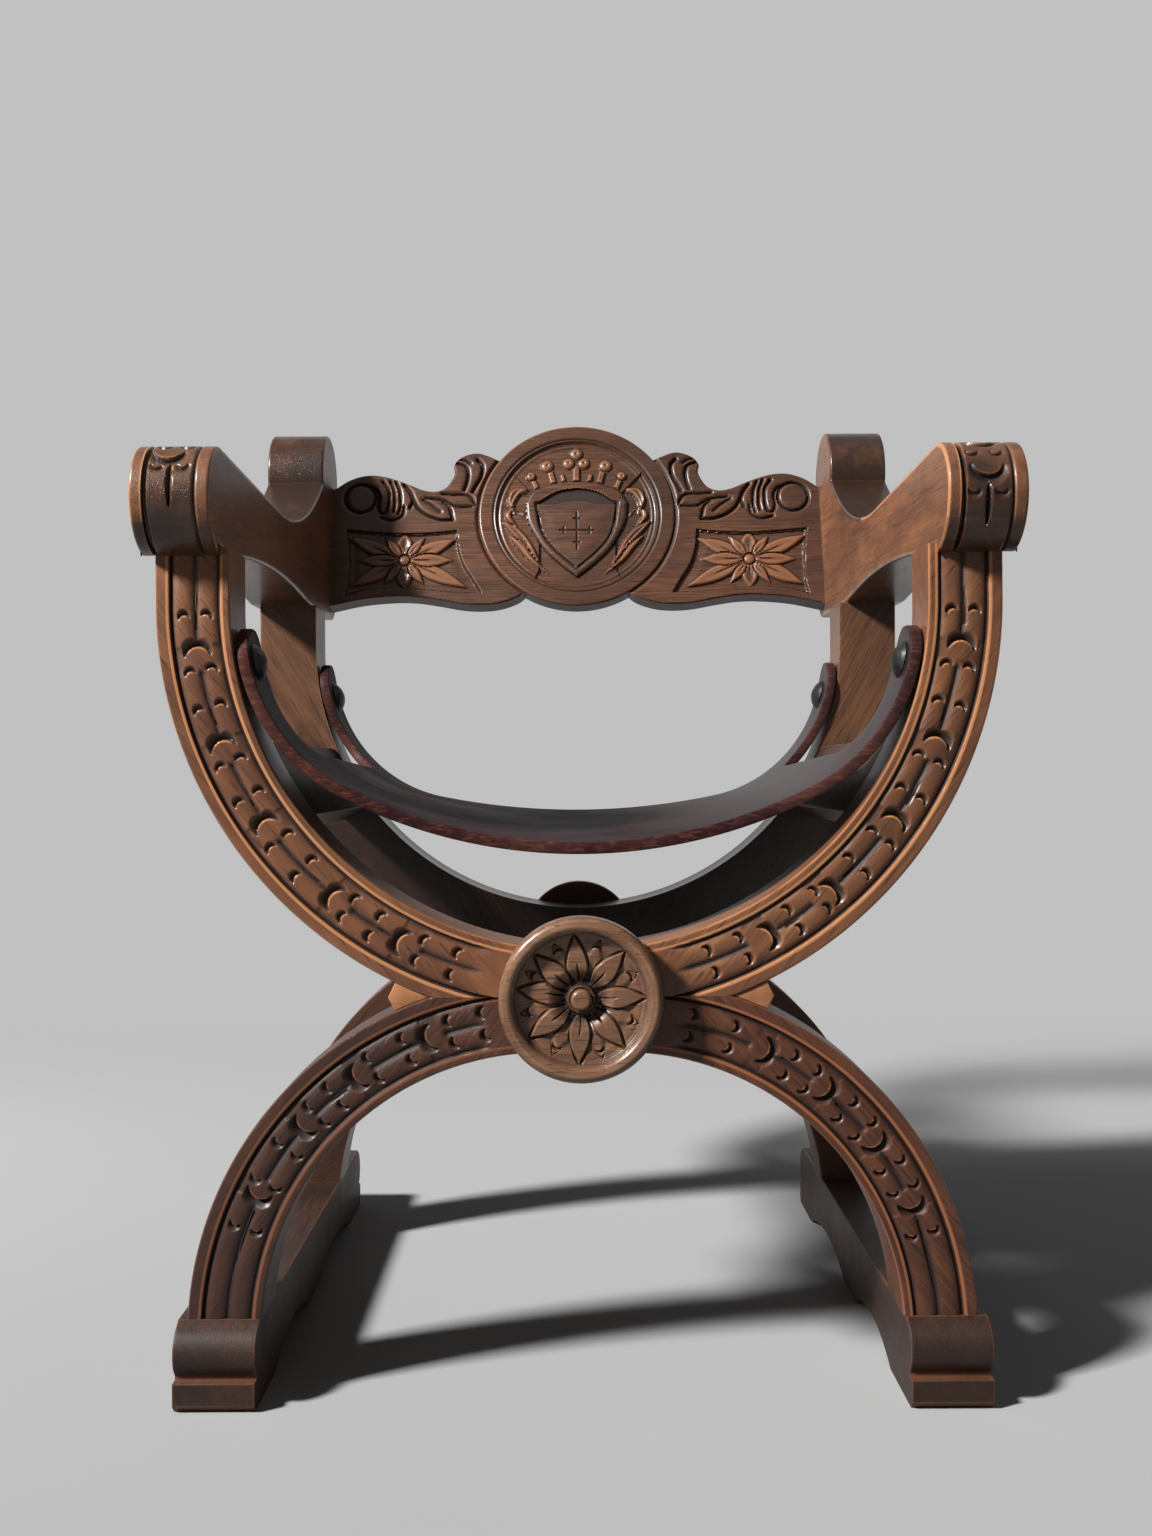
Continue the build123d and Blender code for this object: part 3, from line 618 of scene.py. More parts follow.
def leg_bend(run, share):
    """The same for a leg, which starts with a short straight run and stands level on its runner."""
    foot = np.arcsin((runner_top_z - leg_centre_z) / (leg_radius + share * ring_width))
    turn = np.clip((run - leg_centre_x) / leg_quarter, 0, 1) * (math.pi / 2 - foot)
    reach = cut_level(leg_radius, turn, crossing_z - leg_centre_z)
    radius = leg_radius + share * (reach - leg_radius)
    x = np.minimum(run, leg_centre_x) + radius * np.sin(turn)
    z = np.maximum(leg_centre_z + radius * np.cos(turn), runner_top_z)
    return np.degrees((run - leg_centre_x) / leg_middle) + 4, radius, x, z


def border_wear_and_highlight(across):
    """How worn the two edges are where the plain borders meet their grooves: paler lines that are partly wear
    and partly painted highlight.
    """
    inner, outer = inner_groove - 2.3, outer_groove + 2.7
    return 0.9 * ease(1.4 - np.minimum(np.abs(across - inner), np.abs(across - outer)))


def carved_quarter(side, bend, inner_radius, length, pattern, name, finish):
    """Carved right or left half of the front bow or legs. side is 1 on the right and -1 on the left."""
    relief = strand_relief(pattern, inner_radius)

    def place(u, v, w):
        angle, radius, x, z = bend(u * length, v)
        across = radius - inner_radius
        carving = relief(angle, across)
        side_gap = np.minimum(across, inner_radius + ring_width - radius)
        face = np.maximum(carving, rounded_edge(side_gap, 1.6))
        on_face = w > -0.01
        depth = np.where(on_face, face, -w * frame_depth)
        # Wear on the rounded sides, and pale lines along the borders that are partly painted highlight
        wear = np.maximum(0.5 * ease(1 - side_gap / 2.2), border_wear_and_highlight(across)) * on_face
        return np.column_stack((side * x, front_y + depth, z)), carving * on_face, wear

    board = fold_rim(open_grid(int(length / fine_square), int(ring_width / fine_square)))
    return carve(board, name, place, finish)


for side, name, finish in ((1, "right", slant_oak_right), (-1, "left", slant_oak_left)):
    pattern = bow_patterns[name]
    bow = carved_quarter(side, bow_bend, bow_radius, bow_length, pattern, f"carved_bow_{name}", finish)
    dress(bow, "carved_wood", f"front_upright_{name}")
for side, name, finish in ((1, "right", leg_oak_right), (-1, "left", shaded_leg_oak_left)):
    pattern = leg_patterns[name]
    leg = carved_quarter(side, leg_bend, leg_radius, leg_length, pattern, f"carved_leg_{name}", finish)
    dress(leg, "carved_wood", f"front_leg_{name}")

# %% [markdown]
# ## The plain boards
#
# The rear frame, the runners, the seat rails and the small wedges are planed, not carved. Their CAD
# solids have the right shape, but a CAD edge is perfectly sharp, and a real one catches light along a
# narrow round. Each piece is a copy of its CAD mesh with the loose triangles merged, flat faces joined
# and the sharp edges bevelled by a millimetre or two. A narrow band inside each face keeps the wear
# close to its edges. Below the seat the front of the rear bow is darkened nearly to black as painted
# shade.


# %% Planed boards with softened edges
# The band inside each face, and the narrowest face that has room for one
band_width, narrowest_face = 2.2 * mm, 7 * mm
# Painted shade on the front of the rear bow grows dark over this height, down from this level
shade_top, shade_fade = 485 * mm, 45 * mm


def smooth_patches(faces):
    """Groups of faces that meet each other without a sharp edge."""
    left = set(faces)
    while left:
        patch, waiting = set(), [left.pop()]
        while waiting:
            face = waiting.pop()
            patch.add(face)
            soft_edges = [edge for edge in face.edges if edge.is_manifold and edge.calc_face_angle() < 0.5]
            beside = {other for edge in soft_edges for other in edge.link_faces} & left
            waiting += beside
            left -= beside
        yield patch


def planed(node, name, finish, round_by):
    """A copy of a CAD node with its sharp edges rounded and worn, and with painted shade low on the front of
    a rear upright.
    """
    shape = bmesh.new()
    shape.from_mesh(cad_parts[node].data)
    bmesh.ops.remove_doubles(shape, verts=shape.verts, dist=0.002 * mm)
    bmesh.ops.dissolve_limit(shape, angle_limit=math.radians(0.6), verts=shape.verts, edges=shape.edges)
    sharp = [edge for edge in shape.edges if edge.is_manifold and edge.calc_face_angle() > math.radians(34)]
    worn = shape.verts.layers.float.new("hollow")
    rounded = bmesh.ops.bevel(
        shape, geom=sharp, offset=round_by * mm, segments=3, affect="EDGES", profile=0.5, material=-1,
        clamp_overlap=True)
    for vert in rounded["verts"]:
        vert[worn] = -0.5
    for patch in smooth_patches(set(shape.faces) - set(rounded["faces"])):
        rim = [edge for face in patch for edge in face.edges if not patch.issuperset(edge.link_faces)]
        area = sum(face.calc_area() for face in patch)
        rim_length = sum(edge.calc_length() for edge in rim)
        if 2 * area >= narrowest_face * rim_length:
            bmesh.ops.inset_region(
                shape, faces=list(patch), thickness=band_width, use_boundary=True, use_even_offset=True)
            for vert in {vert for face in patch for vert in face.verts}:
                vert[worn] = 0.0
    # Painted shade: the front of each rear upright is darkened nearly to black below the seat
    painted_shade_layer = shape.verts.layers.float.new("grime_and_shade")
    near_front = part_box(node)[0].y + 12 * mm
    for vert in shape.verts:
        if "rear_upright" in node and vert.co.y < near_front:
            vert[painted_shade_layer] = 0.95 * float(ease((shade_top - vert.co.z) / shade_fade))
    return settle(put(shape, name, finish), 30)


plain_boards = (
    ("rear_upright_right", rear_oak_right, 1.6), ("rear_upright_left", rear_oak_left, 1.6),
    ("rear_leg_right", leg_oak_right, 1.6), ("rear_leg_left", shaded_leg_oak_left, 1.6),
    ("runner_right", foot_oak, 1.8), ("runner_left", foot_oak, 1.8),
    ("seat_rail_right", foot_oak, 1.8), ("seat_rail_left", foot_oak, 1.8),
    ("front_notch_wedges", level_oak, 0.7), ("rear_notch_wedges", level_oak, 0.7),
    ("rear_boss", level_oak, 0.8),
)
for node, finish, round_by in plain_boards:
    dress(planed(node, node + "_planed", finish, round_by), "carved_wood", node)

# %% Joinery that stays as the CAD made it
pale_dowel = wood("beech_dowels", ((214, 184, 140), (196, 160, 116), (170, 132, 92)))
joinery = (
    "crossing_dowels", "arm_dowels", "leg_dowels", "rail_dowels", "crossing_stretcher", "rosette_button")
for node in joinery:
    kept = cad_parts[node]
    kept.data.materials.clear()
    kept.data.materials.append(pale_dowel if "dowels" in node else turned_oak)
print("CAD pieces kept:", [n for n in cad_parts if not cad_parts[n].hide_render])

# %% [markdown]
# ## The rosette
#
# The rosette is turned on a lathe and then carved. Its profile, from the middle out, is a small dished
# hollow, a flat field, a bead and a half-round rim. Bending a grid into a full turn gives the same
# round piece with points close enough together for eight pointed petals, the leaves between them and a
# gouge cut near each leaf's end. The carver let the whole flower sink like a funnel towards the button
# in its middle.


# %% Turned and carved pieces
def arc(centre, radius, start, end, count):
    """Points of an arc, from one angle to another in degrees."""
    angle = np.radians(np.linspace(start, end, count))
    return np.column_stack((centre[0] + radius * np.cos(angle), centre[1] + radius * np.sin(angle)))


def stations(path, spacing):
    """Points along a path, as far apart as spacing says at each point of it."""
    step = np.hypot(*np.diff(path, axis=0).T)
    run = np.concatenate(([0], np.cumsum(step)))
    fine = np.linspace(0, run[-1], 6000)
    spot = np.column_stack([np.interp(fine, run, path[:, i]) for i in (0, 1)])
    count = np.concatenate(([0], np.cumsum(np.diff(fine) / spacing(spot)[1:])))
    even = np.interp(np.linspace(0, count[-1], int(count[-1]) + 1), count, fine)
    return np.column_stack([np.interp(even, run, path[:, i]) for i in (0, 1)])


def spun(line, u, v):
    """Points of a turned piece: across, up, out from its axis and along its axis."""
    share = np.linspace(0, 1, len(line))
    radius, along_axis = (np.interp(v, share, line[:, i]) for i in (0, 1))
    turn = u * 2 * math.pi
    return radius * np.cos(turn), radius * np.sin(turn), radius, along_axis


def petal(along, across, start, end, half_width):
    """How far inside a pointed petal a point lies, in mm: above 0 inside it."""
    share = np.clip((along - start) / (end - start), 0, 1)
    inside = half_width * np.sin(math.pi * share**0.85) - np.abs(across)
    beyond = np.hypot(np.abs(across), np.maximum(start - along, along - end))
    return np.where((along > start) & (along < end), inside, -beyond)


# %% Rosette relief
petal_angles = (96, 48, 2, -48, -92, -144, -190, -224)
leaf_angles = (72, 25, -23, -70, -118, -167, -207, -244)


def rosette_relief(x, z):
    """Depth of the carving in the rosette's field, below 0 where a petal stands proud."""
    radius = np.hypot(x, z)
    depth = 1.9 * ease((radius - 12) / 6) * ease((42 - radius) / 9) + 1.0
    for degrees in leaf_angles:
        along, across = turn_axes(x, z, math.radians(degrees))
        inside = petal(along, across, 13, 44, 8.5)
        depth = depth - 1.4 * ease(inside / 5)
        scooped = 2.2 * ease(1 - np.abs(across) / 5) * ease((along - 12) / 4) * ease((30 - along) / 10)
        depth = depth + scooped
        depth = np.maximum(depth, vee(np.abs(inside), 1.0, 2.6) * (along > 24))
        depth = np.maximum(depth, thumbnail(along - 38.5, across, 4.4, 3.8, 3.8))
    for degrees in petal_angles:
        along, across = turn_axes(x, z, math.radians(degrees))
        inside = petal(along, across, 8, 46, 7.6)
        body = 0.6 - 2.6 * ease(inside / 3.0) + 1.6 * ease(inside / 5.5 - 0.3)
        body = body + vee(np.abs(across), 1.6, 2.4) * ease((29 - along) / 9)
        depth = np.where(inside > 0, body, depth)
        depth = np.maximum(depth, vee(np.abs(inside + 0.5), 1.7, 3.2) * (along > 12))
    depth = depth + 6.5 * ease((24 - radius) / 13)
    return depth * ease((46.5 - radius) / 1.5) * ease((radius - 9) / 3)


# %% Rosette
rosette_y = front_y - 22
rosette_profile = np.vstack((
    [(0, 11), (7.5, 11), (11.5, 8), (44, 8), (44.3, 6.8), (46.6, 6.8)],
    arc((52.75, 5.75), 5.75, 180, 0, 40) * (1, -1) + (0, 11.5),
    [(58.5, 20.5), (57.8, 22), (0, 22)]))
rosette_line = stations(rosette_profile, lambda spot: np.where(spot[:, 1] > 12, 4, 0.55))


def rosette_place(u, v, w):
    x, z, radius, depth = spun(rosette_line, u, v)
    in_front = depth < 15
    relief = np.where(in_front & (radius < 46.5), rosette_relief(x, z), 0)
    # Dark wax in the ring at the foot of the rim and round the button, darkened further as painted shade
    dips = 2.5 * ease(1 - np.abs(radius - 46.2) / 1.8) + 4 * ease(1 - np.abs(radius - 9) / 4)
    wear = 0.35 * ease(1 - np.abs(radius - 53) / 3.5) * in_front
    return np.column_stack((x, rosette_y + depth + relief, crossing_z + z)), relief + dips * in_front, wear


rosette = carve(open_grid(540, len(rosette_line) - 1), "carved_rosette", rosette_place, turned_oak)
dress(rosette, "carved_wood", "front_rosette", wax_and_shade=0.5)

# %% [markdown]
# ## The arms
#
# An arm is one thick board cut to its outline from the side: a scroll in front, a long dipped top that
# sweeps up to a round finial, and a shallow arch beneath. The grid is wrapped once round that outline,
# so its columns run round the arm and its rows across it, and the two flat sides are filled afterwards.
# The barrel of the scroll lies between one deep and one shallow groove and has the same gouge cuts as
# the bows.

# %% Outline of the arm, from the side
arm_width = 56.0
arm_inner_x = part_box("arm_right")[0].x / mm
scroll_centre = (front_y + 5.0, arm_seat_z + 32.5)
scroll_radius = 39.3
finial_radius = 46.5
finial_centre = (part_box("arm_right")[1].y / mm - finial_radius, arm_seat_z + 142.5)
waist = np.array((front_y + 222.0, arm_seat_z + 64.5))
sweep_end = np.array((finial_centre[0] - 45.0, finial_centre[1] - 10.0))
heel_y = finial_centre[0] + 29.0
scroll_top = np.array((scroll_centre[0], scroll_centre[1] + scroll_radius))
scroll_foot = math.degrees(math.atan2(-math.sqrt(scroll_radius**2 - 5.0**2), -5.0)) + 360

run_in = (waist - scroll_top) / np.linalg.norm(waist - scroll_top)
upward = np.array((-run_in[1], run_in[0]))
chord = sweep_end - waist
sweep_radius = chord @ chord / (2 * upward @ chord)
sweep_centre = waist + sweep_radius * upward
sweep_angles = [math.degrees(math.atan2(*(spot - sweep_centre)[::-1])) for spot in (waist, sweep_end)]

arch_front, arch_back, arch_rise = front_y + frame_depth, heel_y - 160.0, 10.0
arch_half = (arch_back - arch_front) / 2
arch_radius = (arch_half**2 + arch_rise**2) / (2 * arch_rise)
arch_centre = (arch_front + arch_half, arm_seat_z + arch_rise - arch_radius)
arch_spread = math.degrees(math.asin(arch_half / arch_radius))
back_lean = math.atan2(finial_centre[0] + finial_radius - heel_y, finial_centre[1] - arm_seat_z)
heel_round = 22.0
heel_share = heel_round * math.tan((math.pi / 2 + back_lean) / 2 - back_lean)
heel_arc = arc((heel_y - heel_share, arm_seat_z + heel_round), heel_round, -math.degrees(back_lean), -90, 12)
arm_outline = np.vstack((
    [(front_y, arm_seat_z)],
    arc(scroll_centre, scroll_radius, scroll_foot, 90, 120),
    arc(sweep_centre, sweep_radius, *sweep_angles, 60),
    arc(finial_centre, finial_radius, 192.5, 0, 90),
    heel_arc,
    arc(arch_centre, arch_radius, 90 - arch_spread, 90 + arch_spread, 40),
    [(front_y, arm_seat_z)]))
print("Arm outline:", np.round(arm_outline.min(0), 1), np.round(arm_outline.max(0), 1))


# %% Arm
arm_line = stations(arm_outline, lambda spot: np.where(spot[:, 0] < scroll_centre[0] + 12, 0.8, 2.2))
arm_run = np.concatenate(([0], np.cumsum(np.hypot(*np.diff(arm_line, axis=0).T))))
along_line = np.gradient(arm_line, arm_run, axis=0)
outward = np.column_stack((-along_line[:, 1], along_line[:, 0]))
outward = outward / np.linalg.norm(outward, axis=1)[:, None]

# Places across the arm in mm and angles above straight ahead in degrees: the deep groove, the two ends of the
# vein, and the crescents, and then how dark the barrel is made at four angles from below to the top
arm_cuts = {
    "right": {
        "groove": -17.3, "vein": (11, -38), "large": ((13, 0), (66, 0)),
        "small": ((-5, -10), (-5, 9), (42, -9), (42, 8)), "grime_and_shade": (0.75, 0.6, 0.45, 0.1)},
    "left": {
        "groove": 17.3, "vein": (36, -15), "large": ((40, 3), (88, 0)),
        "small": ((27, -9), (27, 9), (66, -8), (66, 8)), "grime_and_shade": (0.85, 0.5, 0.3, 0.3)},
}


def scroll_relief(cuts):
    """Relief of the scroll's barrel, by the angle above straight ahead and the place across the arm."""
    per_degree = math.radians(scroll_radius)
    top, end = cuts["vein"]

    def relief(angle, across):
        middle = across - arm_width / 2
        depth = 3.6 * ease(1.9 - np.abs(middle - cuts["groove"]))
        depth = np.maximum(depth, vee(np.abs(middle + cuts["groove"]), 1.5, 2.2))
        share = np.clip((top - angle) / (top - end), 0, 1)
        vein = vee(np.abs(middle), 0.4 + 2.2 * np.sin(math.pi * share) ** 0.7, 3.0)
        depth = np.maximum(depth, vein * (share > 0) * (share < 1))
        for a, off in cuts["large"]:
            depth = np.maximum(depth, thumbnail((a - angle) * per_degree, middle - off, 11.5, 8.5, 4.0))
        for a, off in cuts["small"]:
            depth = np.maximum(depth, thumbnail((a - angle) * per_degree, middle - off, 4.2, 4.4, 2.4))
        return depth

    return relief


def arm_board(side, cuts, name, finish):
    """Right or left arm, wrapped round its outline, with open sides."""
    relief = scroll_relief(cuts)

    def place(u, v, w):
        spot = np.rint(u * (len(arm_line) - 1)).astype(int)
        y, z = arm_line[spot].T
        out_y, out_z = outward[spot].T
        across = v * arm_width
        angle = np.degrees(np.arctan2(z - scroll_centre[1], scroll_centre[0] - y))
        on_scroll = np.hypot(y - scroll_centre[0], z - scroll_centre[1]) < scroll_radius + 0.2
        on_scroll = on_scroll & (y < scroll_centre[0] + 3)
        carving = relief(angle, across) * ease((angle + 86) / 10) * ease((96 - angle) / 8)
        edge = np.minimum(across, arm_width - across)
        cut = np.maximum(np.where(on_scroll, carving, 0), rounded_edge(edge, 2.2))
        wear = 0.7 * ease(1 - edge / 3.0)
        barrel = ease((17.3 - np.abs(across - arm_width / 2)) / 2) * on_scroll
        dirt_and_shade = 0.25 + barrel * np.interp(angle, (-60, -10, 30, 90), cuts["grime_and_shade"])
        # Hands darken the finial most, and the underside is darkened as painted shade
        on_finial = y > waist[0] + 60
        dirt_and_shade = np.where(on_finial, np.interp(z, (680, 740, 760, 800), (0.95, 0.95, 0.9, 0.8)), dirt_and_shade)
        dirt_and_shade = np.where(out_z < -0.5, 0.6, dirt_and_shade)
        points = np.column_stack((side * (arm_inner_x + across), y - out_y * cut, z - out_z * cut))
        return points, np.where(edge > 2.2, cut, 0), wear, dirt_and_shade

    return carve(open_grid(len(arm_line) - 1, int(arm_width / fine_square)), name, place, finish)


def close_sides(made):
    """Fills the two flat sides of an arm. A narrow band inside each keeps the wear near its edge."""
    shape = bmesh.new()
    shape.from_mesh(made.data)
    bmesh.ops.remove_doubles(shape, verts=shape.verts, dist=0.01 * mm)
    sides = bmesh.ops.holes_fill(shape, edges=[edge for edge in shape.edges if edge.is_boundary])["faces"]
    bmesh.ops.recalc_face_normals(shape, faces=shape.faces)
    bmesh.ops.inset_individual(shape, faces=sides, thickness=2.0 * mm, use_even_offset=False)
    for vert in {vert for face in sides for vert in face.verts}:
        vert[shape.verts.layers.float["hollow"]] = 0.0
        vert[shape.verts.layers.float["grime_and_shade"]] = 0.2
    shape.to_mesh(made.data)
    shape.free()
    return settle(made)


for side, name in ((1, "right"), (-1, "left")):
    arm = close_sides(arm_board(side, arm_cuts[name], f"carved_arm_{name}", deep_oak))
    dress(arm, "carved_wood", f"arm_{name}")

# %% [markdown]
# ## The crest rail
#
# The crest rail leans back between the arms. It is a round medallion with a wing on each side, all sawn
# from one board and carved in low relief. A wing has a wavy outline, so its grid is cut out along that
# outline first, like a biscuit, and the points on its rim slide onto the line. The medallion is bent
# from a grid as the rosette is, and the wings end out of sight beneath it.

# %% Place of the crest
crest_lean = math.radians(16)
crest_y = front_y + 473.3
crest_z = arm_seat_z + 12.6
crest_thickness = 20.0
medallion_z = 102.5
medallion_radius = 103.0


def on_crest(x, up, depth):
    """Points of the chair from places on the leaning face of the crest."""
    return np.column_stack((
        x, crest_y + up * math.sin(crest_lean) + depth * math.cos(crest_lean),
        crest_z + up * math.cos(crest_lean) - depth * math.sin(crest_lean)))


# %% Cutting a board to its outline
def inside_outline(spots, outline):
    """True for the points that lie inside a closed outline."""
    x, y = spots.T
    found = np.zeros(len(spots), bool)
    for (x1, y1), (x2, y2) in zip(outline, np.roll(outline, -1, axis=0)):
        crossing = (y1 > y) != (y2 > y)
        with np.errstate(divide="ignore", invalid="ignore"):
            found ^= crossing & (x < (x2 - x1) * (y - y1) / (y2 - y1) + x1)
    return found


def nearest_on(path, spots, closed=True):
    """Nearest point of a path to each spot, and how far off it is."""
    ends = np.roll(path, -1, axis=0) if closed else path[1:]
    best, gap = spots.copy(), np.full(len(spots), 1e9)
    for start, end in zip(path, ends):
        leg = end - start
        share = np.clip(((spots - start) @ leg) / max(leg @ leg, 1e-9), 0, 1)
        spot = start + share[:, None] * leg
        off = np.hypot(*(spots - spot).T)
        closer = off < gap
        best[closer], gap[closer] = spot[closer], off[closer]
    return best, gap


def cut_board(outline, cell):
    """A flat sheet of small squares in mm, cut to a closed outline."""
    low, high = outline.min(0) - cell, outline.max(0) + cell
    columns, rows = np.ceil((high - low) / cell).astype(int)
    sheet = open_grid(int(columns), int(rows))
    for vert in sheet.verts:
        vert.co = (low[0] + vert.co.x * columns * cell, low[1] + vert.co.y * rows * cell, 0)
    faces = list(sheet.faces)
    middles = np.array([face.calc_center_median().xy for face in faces])
    outside = [face for face, kept in zip(faces, inside_outline(middles, outline)) if not kept]
    bmesh.ops.delete(sheet, geom=outside, context="FACES")
    rim = [vert for vert in sheet.verts if vert.is_boundary]
    snapped = nearest_on(outline, np.array([vert.co.xy for vert in rim]))[0]
    for vert, spot in zip(rim, snapped):
        vert.co.xy = spot
    return sheet


def smooth_path(points, parts=8):
    """A smooth line through the given points."""
    points = np.array(points, float)
    before = np.vstack((2 * points[:1] - points[1:2], points, 2 * points[-1:] - points[-2:-1]))
    share = np.linspace(0, 1, parts, endpoint=False)[:, None]
    runs = []
    for a, b, c, d in zip(before, before[1:], before[2:], before[3:]):
        runs.append(0.5 * (
            2 * b + (c - a) * share + (2 * a - 5 * b + 4 * c - d) * share**2
            + (3 * b - a - 3 * c + d) * share**3))
    return np.vstack((*runs, points[-1:]))


# %% Outline of a wing
wing_outline = np.vstack((
    smooth_path([(51, 17.5), (62, 9), (78, 3), (96, 0.6), (118, 1.6), (141, 6)]),
    smooth_path([(141, 6), (165, 9.8), (189, 10.5), (222, 7.5), (256, 0)]),
    [(256, 132)],
    smooth_path([
        (256, 132), (240, 143), (222, 148.5), (203, 147), (180, 139), (163, 131.5), (149, 129.5), (138, 134),
        (131, 144)]),
    smooth_path([
        (131, 144), (128.5, 152), (130, 159), (125, 167), (115, 172.5), (104, 174), (92, 170), (80, 164)]),
    [(40, 120), (40, 40)]))
print("Wing outline:", np.round(wing_outline.min(0), 1), np.round(wing_outline.max(0), 1))


# %% Relief of a wing
def strokes_relief(strokes, x, up):
    """Depth of V-shaped strokes, each a line with its half width and depth, and the gap to the nearest."""
    spots = np.column_stack((x, up))
    depth, nearest = np.zeros(len(x)), np.full(len(x), 99.0)
    for points, half_width, cut in strokes:
        path = smooth_path(points, 5) if len(points) > 2 else np.array(points, float)
        low, high = path.min(0) - 8, path.max(0) + 8
        near = np.all((spots > low) & (spots < high), axis=1)
        gap = nearest_on(path, spots[near], closed=False)[1]
        depth[near] = np.maximum(depth[near], vee(gap, half_width, cut))
        nearest[near] = np.minimum(nearest[near], gap)
    return depth, nearest


# Strokes of the leaves and the volute: points of the line, half width and depth
leaf_strokes = (
    (((107, 114), (112, 123), (120, 126), (130, 126), (142, 127)), 1.6, 2.2),
    (((110, 112), (126, 112), (134, 116), (142, 120), (159, 122)), 1.6, 2.2),
    (((131, 97), (134, 111), (141, 118)), 1.8, 2.6),
    (((131, 97), (143, 97), (157, 102), (167, 110), (172, 119), (176, 128), (182, 137)), 2.4, 3.4),
    (((144, 106), (152, 113), (162, 120)), 1.5, 1.6),
    (((182, 137), (175, 127), (173, 118), (176, 111)), 2.2, 3.4),
    (((191, 140), (187, 130), (186, 119), (186, 111), (188, 104)), 1.7, 2.6),
    (((197, 141), (193, 130), (192, 116), (193, 107)), 1.9, 2.8),
    (((205, 141), (199, 132), (198, 122), (199, 111), (202, 105),
      (207, 106), (209, 114), (208, 124), (212, 132), (220, 136)), 2.0, 3.2),
    (((182, 112), (184, 102), (193, 97), (201, 98), (206, 100)), 1.7, 2.4),
    (arc((228, 122), 16, -170, 190, 25), 2.0, 3.2),
    (((105, 166), (100, 159), (101, 147), (107, 135), (110, 129)), 2.2, 3.2),
    (((127, 163), (118, 159), (115, 151), (116, 140), (119, 131)), 2.0, 2.8),
    (((113, 162), (119, 166), (127, 167)), 1.3, 1.6),
)
panel = np.vstack((
    smooth_path([(126, 84), (145, 82), (161, 81), (191, 81), (241, 85)]),
    smooth_path([(241, 85), (238, 66), (237, 47), (237, 27), (240, 12)]),
    smooth_path([(240, 12), (219, 18), (189, 20), (159, 18), (129, 15), (100, 14)]),
    smooth_path([(100, 14), (109, 30), (118, 45), (124, 64), (126, 84)])))
flower_centre = (180.0, 51.0)
# Petals of the flower: direction in degrees, length, half width and how deep the scoop along the middle is
flower_petals = (
    (24, 68, 8.5, 0.3), (156, 60, 8.5, 0.3), (205, 74, 8.5, 0.3), (-27, 64, 8.5, 0.3),
    (0, 50, 7.5, 0.8), (180, 52, 8.0, 0.8), (90, 32, 9.0, 2.0), (-90, 33, 9.0, 2.0),
    (52, 34, 5.5, 0.6), (128, 34, 5.5, 0.6), (-52, 34, 5.5, 0.6), (-128, 34, 5.5, 0.6),
)


def flower_relief(x, up, ground):
    """Depth of the flower in its sunk panel, whose ground is given."""
    away_x, away_up = x - flower_centre[0], up - flower_centre[1]
    flower = ground
    for degrees, reach, half_width, scoop in flower_petals:
        along, across = turn_axes(away_x, away_up, math.radians(degrees))
        lies = petal(along, across, 4, reach, half_width)
        scooped = scoop * ease(1 - np.abs(across) / half_width) * ease((along - 8) / 8)
        body = 1.5 - 1.5 * ease(lies / 3.5) + scooped
        body = body + vee(np.abs(across), 1.1, 1.5) * ease((reach * 0.6 - along) / 10)
        flower = np.where(lies > 0, np.maximum(body, vee(lies, 1.6, 3.6)), flower)
    bud = np.hypot(away_x, away_up)
    flower = np.where(bud < 5.5, 0.3 + 1.6 * (bud / 5.5) ** 2, flower)
    return np.maximum(flower, vee(np.abs(bud - 6.2), 1.5, 3.8))


def wing_relief(x, up):
    """Depth of the carving on a wing of the crest, and how much of it is the sunk ground of the panel."""
    depth, nearest = strokes_relief(leaf_strokes, x, up)
    depth = depth + 1.5 * ease(1 - nearest / 6) ** 2
    spots = np.column_stack((x, up))
    inside = inside_outline(spots, panel)
    gap = nearest_on(panel, spots)[1]
    ground = np.where(inside, 4.0 * ease(gap / 1.6) - 0.8 * ease((gap - 3) / 10), 0)
    flower = np.maximum(flower_relief(x, up, ground), vee(gap, 1.6, 3.4))
    depth = np.where(inside, flower, np.maximum(depth, vee(gap, 1.2, 2.0)))
    rim_gap = np.hypot(x, up - medallion_z) - medallion_radius
    depth = np.maximum(depth, 3.4 * ease(1 - rim_gap / 5))
    return np.where(rim_gap < -1.2, 12.0, depth), 0.9 * ground


# %% Wings
def wing_board(side, name, finish):
    """One wing of the crest rail."""

    def place(x, up, w):
        back = w < -0.01
        # The rim is rounded, but not at the end that meets the arm
        edge = nearest_on(wing_outline, np.column_stack((x, up)))[1]
        edge = np.where(x > 254, 9, edge)
        relief, ground = wing_relief(x, up)
        face = np.maximum(relief, rounded_edge(edge, 1.8))
        wear = 0.5 * ease(1 - edge / 2.5) * ~back
        depth = np.where(back, -w * crest_thickness, face)
        return on_crest(side * x, up, depth), np.where(back, 0, relief - ground), wear

    return carve(fold_rim(cut_board(wing_outline, 0.9)), name, place, finish)


for side, name in ((1, "right"), (-1, "left")):
    dress(wing_board(side, f"crest_wing_{name}", crest_oak), "carved_wood")

# %% [markdown]
# ## The medallion
#
# A flat rim, a groove and a fine inner ring frame a sunk field with a crowned shield. The arms of a
# real family are left out: this shield has a plain border and a small pointed cross. Over it stands a
# crown of pearls on short stems, and a spray of leaves grows up on either side. The medallion is a
# little thicker than the wings, so that its back stands clear of theirs.


# %% Relief of the medallion
def mirrored(points):
    """Points of a line on the left, then the same points seen in a mirror."""
    points = np.array(points, float)
    return np.vstack((points, points[::-1] * (-1, 1)))


